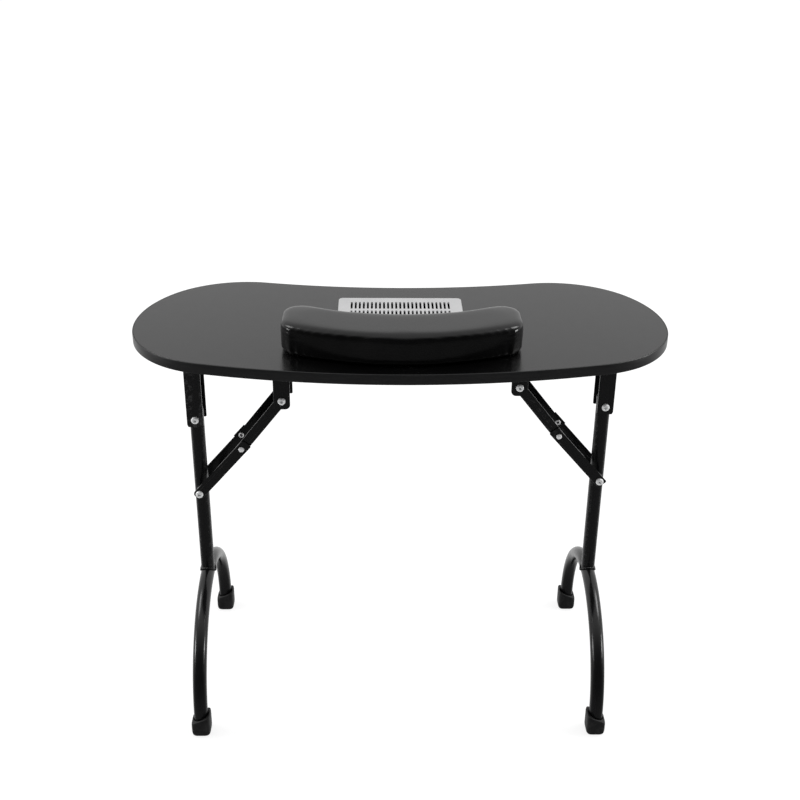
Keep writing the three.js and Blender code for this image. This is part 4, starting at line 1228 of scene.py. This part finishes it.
def link_outline(length, link, start_radius, open_sign):
    left = -LINK_TAIL
    right = length + link["knee_tail"]
    end_radius, open_edge, web_edge = link["end_radius"], link["open_edge"], link["web_edge"]
    quarter = pi / 2
    points = arc(left + start_radius, start_radius - web_edge, start_radius, pi, 3 * quarter, 8)
    points += arc(right - end_radius, end_radius - web_edge, end_radius, -quarter, 0, 8)
    points += arc(right - end_radius, open_edge - end_radius, end_radius, 0, quarter, 8)
    points += arc(left + start_radius, open_edge - start_radius, start_radius, quarter, pi, 8)
    return [(x, open_sign * y) for x, y in points]


def channel_link(name, length, link, start_radius, open_sign):
    """A channel along X from pin to pin, with its web between link["web"]'s two ends."""
    width, wall, web_edge = link["width"], link["wall"], link["web_edge"]
    section = channel_section(width, web_edge + link["open_edge"], wall)
    points = [(across, open_sign * (up - web_edge)) for across, up in section]
    over = 0.03
    bar = prism(name, [fixed(points)], [(0, -over), (0, length + over)], ALONG_X)
    combine(bar, "INTERSECT", silhouette(link_outline(length, link, start_radius, open_sign)))
    half = width / 2 - wall
    edges = sorted((open_sign * (-web_edge - 0.001), open_sign * (-web_edge + wall + 0.0016)))
    web_from, web_to = link["web"]
    return cut(
        bar,
        box("web_start", -over, web_from, -half, half, *edges),
        box("web_end", web_to, length + over, -half, half, *edges),
    )


def along_link(start, end):
    """The matrix that lays a link's X axis from one pin to the other."""
    direction = (end - start).normalized()
    up = direction.cross(Vector((0, 1, 0)))
    turn = Matrix((direction, Vector((0, 1, 0)), up)).transposed().to_4x4()
    return Matrix.Translation(start) @ turn


def build_brace(side, sign, leg_pin, top_pin, knee):
    length = (knee - leg_pin).length
    wall, open_edge = LOWER_LINK["wall"], LOWER_LINK["open_edge"]
    lower = channel_link(f"{side}_lower_link", length, LOWER_LINK, LOWER_START_RADIUS[side], -sign)
    inner = LOWER_LINK["width"] / 2 - wall
    edges = sorted(-sign * edge for edge in (open_edge - STOP_TAB["root"], open_edge + STOP_TAB["out"]))
    ends = (length - STOP_TAB["before"], length + STOP_TAB["after"])
    add(lower, box("tab", *ends, inner, inner + wall, *edges))
    cut(lower, cross_cylinder(0, 0, BOLT["hole"]), cross_cylinder(length, 0, RIVET["hole"]))
    soften(lower)
    turned(lower, along_link(leg_pin, knee))
    dress(lower, f"{side}_lower_brace", "black_paint", f"{side}_brace_lower")

    upper = channel_link(f"{side}_upper_link", length, UPPER_LINK, UPPER_START_RADIUS, sign)
    # The knee's hole shows in the front flange only; at the rear the flange hides the rivet's tail.
    knee_hole = turned(cross_cylinder(length, 0, RIVET["hole"], 0.02), Matrix.Translation((0, -0.03, 0)))
    cut(upper, cross_cylinder(0, 0, BOLT["hole"]), knee_hole)
    soften(upper, 0.0003)
    turned(upper, along_link(top_pin, knee))
    dress(upper, f"{side}_upper_brace", "black_paint", f"{side}_brace_upper")


# ---------------------------------------------------------------- fasteners
def build_bolt(pin_name, body, grip, pin):
    """A button-head bolt in front and its locknut behind."""
    shank, head, height = BOLT["shank"], BOLT["head"], BOLT["height"]
    seat = grip + GAP
    tail = -(grip + GAP + NUT["height"] + NUT["tail"])
    rim = 0.0009
    crown = head * 0.55
    profile = [(0, tail), (shank - 0.0008, tail)]
    pitch = 0.00125
    turns = 5
    for i in range(turns):
        z = tail + 0.0008 + i * pitch
        profile += [(shank, z), (shank, z + 0.2 * pitch), (shank - 0.0005, z + 0.6 * pitch)]
    profile += [(shank, tail + 0.0008 + turns * pitch), (shank, seat)]
    profile += [(head - 0.0003, seat), (head, seat + 0.0003)]
    for i in range(9):
        angle = pi / 2 * i / 8
        radius = crown + (head - crown) * cos(angle)
        profile.append((radius, seat + rim + (height - rim) * sin(angle)))
    profile.append((0, seat + height))
    place = Matrix.Translation(pin) @ ALONG_Y
    bolt = lathe(f"{pin_name}_screw", profile, 40)
    hexagon = fixed(circle(BOLT["recess"], 6))
    top = seat + height
    cut(bolt, prism("socket", [hexagon], [(0, top - BOLT["recess_depth"]), (0, top + 0.001)]))
    dress(smooth(turned(bolt, place), 36), body, "zinc", f"{pin_name}_bolt")

    radius = NUT["across"] / sqrt(3)
    tall = NUT["height"]
    bore = shank + GAP
    corner = NUT["across"] / 2 - 0.0002
    outlines = [fixed(circle(radius, 6)), fixed(circle(bore, 40))]
    nut = prism(f"{pin_name}_locknut", outlines, [(0, 0), (0, tall)])
    collar = 0.0018
    blank = [(0, 0), (corner, 0), (radius, 0.0007), (radius, tall - collar - 0.0005), (corner, tall - collar)]
    blank += [(corner, tall - 0.0008), (corner - 0.0008, tall), (0, tall)]
    combine(nut, "INTERSECT", lathe("blank", blank, 48))
    flip = Matrix.Translation(pin + Vector((0, grip + GAP, 0))) @ Matrix.Rotation(pi, 4, "X") @ ALONG_Y
    dress(smooth(turned(nut, flip), 30), body, "zinc", f"{pin_name}_nut")


def build_rivet(node, body, facing, tail, seat, centre, bore=0.0):
    """A rivet in one flange; facing is -1 where its head is in front. tail and seat are measured the
    way that the head faces. A bore makes it tubular, with a rolled rim for a head."""
    face = seat + GAP
    shank, head, height = RIVET["shank"], RIVET["head"], RIVET["height"]
    profile = [(0, tail), (shank - 0.0003, tail), (shank, tail + 0.0003)]
    profile += [(shank, face), (head - 0.0002, face)]
    reach = head - bore if bore == 0 else (head - bore) / 2
    last = pi / 2 if bore == 0 else pi
    for i in range(13):
        angle = last * i / 12
        profile.append((head - reach * (1 - cos(angle)), face + 0.0003 + (height - 0.0003) * sin(angle)))
    if bore:
        profile += [(bore, face - 0.0006), (0, face - 0.0006)]
    rivet = lathe(node.replace("rivet", "stud"), profile, 36, ALONG_Y)
    if facing > 0:
        turned(rivet, Matrix.Rotation(pi, 4, "Z"))
    turned(rivet, Matrix.Translation(centre))
    dress(smooth(rivet), body, "zinc", node)

def build_leg(side):
    sign = SIDES[side]
    pivot = Vector(JOINTS[f"{side}_leg_fold"]["pos_m"])
    leg_pin = Vector(JOINTS[f"{side}_lower_brace_fold"]["pos_m"])
    top_pin = Vector(JOINTS[f"{side}_upper_brace_fold"]["pos_m"])
    knee = node_centre(f"{side}_knee_rivet_front")
    knee.y = 0
    build_post(side, pivot, leg_pin)
    build_arch(side, pivot.x)
    for place, y in (("front", -ARCH["radius"]), ("rear", ARCH["radius"])):
        build_foot(side, sign, pivot.x, place, y)

    build_bracket(f"{side}_hanger", LEG_BRACKET, sign, pivot, f"{side}_leg_bracket")
    build_bracket(f"{side}_brace_hanger", TOP_BRACKET, sign, top_pin, f"{side}_brace_top_bracket")
    build_brace(side, sign, leg_pin, top_pin, knee)

    brace_grip = LOWER_LINK["width"] / 2
    for name, body, grip, pin in (
        ("pivot", "table", LEG_BRACKET["inner"] / 2 + BRACKET_WALL, pivot),
        ("leg_pin", f"{side}_leg", brace_grip, leg_pin),
        ("top_pin", "table", TOP_BRACKET["inner"] / 2 + BRACKET_WALL, top_pin),
    ):
        build_bolt(f"{side}_{name}", body, grip, pin)
    lower = f"{side}_lower_brace"
    tail = brace_grip - LOWER_LINK["wall"]
    build_rivet(f"{side}_knee_rivet_front", lower, -1, tail, brace_grip, knee)
    build_rivet(f"{side}_knee_rivet_rear", lower, 1, tail, brace_grip, knee)
    stop = node_centre(f"{side}_stop_rivet")
    stop.y = 0
    flange = UPPER_LINK["width"] / 2
    seat = UPPER_LINK["wall"] - flange
    build_rivet(f"{side}_stop_rivet", f"{side}_upper_brace", -1, -flange, seat, stop, 0.0024)


# ---------------------------------------------------------------- studio
def build_camera():
    """The photograph's viewpoint."""
    yaw, pitch, roll = 0.019625, 0.462033, 0.010358
    forward = Vector((sin(yaw) * cos(pitch), cos(yaw) * cos(pitch), -sin(pitch)))
    level = Vector((cos(yaw), -sin(yaw), 0))
    up = level.cross(forward)
    right = cos(roll) * level + sin(roll) * up
    upright = cos(roll) * up - sin(roll) * level
    camera = bpy.data.objects.new("camera", bpy.data.cameras.new("camera"))
    camera.data.sensor_width = 36
    camera.data.lens = 53.556
    camera.data.clip_end = 200
    turn = Matrix((right, upright, -forward)).transposed().to_4x4()
    camera.matrix_world = Matrix.Translation((-0.037, -1.8689, 1.5092)) @ turn
    bpy.context.scene.collection.objects.link(camera)
    bpy.context.scene.camera = camera


def softbox(name, location, target, width, height, power):
    lamp = bpy.data.lights.new(name, "AREA")
    lamp.shape = "RECTANGLE"
    lamp.size = width
    lamp.size_y = height
    lamp.energy = power
    box_light = bpy.data.objects.new(name, lamp)
    towards = Vector(target) - Vector(location)
    turn = towards.to_track_quat("-Z", "Y").to_matrix().to_4x4()
    box_light.matrix_world = Matrix.Translation(location) @ turn
    bpy.context.scene.collection.objects.link(box_light)


def build_studio():
    half = 40.0
    corners = [(-half, -half, 0), (half, -half, 0), (half, half, 0), (-half, half, 0)]
    floor = new_piece("floor", corners, [(0, 1, 2, 3)])
    floor.data.materials.append(pale_floor())
    floor.visible_glossy = False

    # A bright back wall and ceiling, dimmer walls at the sides, and a dark room in front. The camera
    # itself sees plain white.
    world = bpy.data.worlds.new("studio")
    bpy.context.scene.world = world
    world.use_nodes = True
    tree = world.node_tree
    background = tree.nodes["Background"].inputs
    background["Color"].default_value = (1, 1, 1, 1)
    place = {"Vector": tree.nodes.new("ShaderNodeTexCoord").outputs["Generated"]}
    depth = shader_node(tree, "ShaderNodeSeparateXYZ", "Y", place)
    height = shader_node(tree, "ShaderNodeSeparateXYZ", "Z", place)
    towards_back = maths(tree, "MULTIPLY_ADD", depth, 0.8, maths(tree, "MULTIPLY", height, 0.6))
    wall = map_range(tree, towards_back, -0.45, 0.5, 0.04, 0.85, interpolation_type="SMOOTHSTEP")
    ground = map_range(tree, height, -0.5, 0.0, 0.08, 0.0, interpolation_type="SMOOTHSTEP")
    seen = tree.nodes.new("ShaderNodeLightPath").outputs["Is Camera Ray"]
    strength = maths(tree, "MAXIMUM", maths(tree, "ADD", wall, ground), seen)
    tree.links.new(strength, background["Strength"])

    softbox("left_box", (-2.6, 0.3, 2.9), (0, 0, 0.6), 1.4, 1.4, 30)
    softbox("right_box", (2.6, 0.3, 2.9), (0, 0, 0.6), 1.4, 1.4, 38)
    softbox("left_strip", (-3.3, -0.5, 0.6), (0, 0, 0.3), 0.7, 0.5, 16)
    softbox("right_strip", (3.3, -0.5, 0.6), (0, 0, 0.3), 0.7, 0.5, 16)
    bpy.context.scene.view_settings.view_transform = "Standard"


build_camera()
build_studio()
build_top()
build_grille()
build_housing()
build_fan()
build_controls()
build_bag()
build_cushion()
for side_name in SIDES:
    build_leg(side_name)
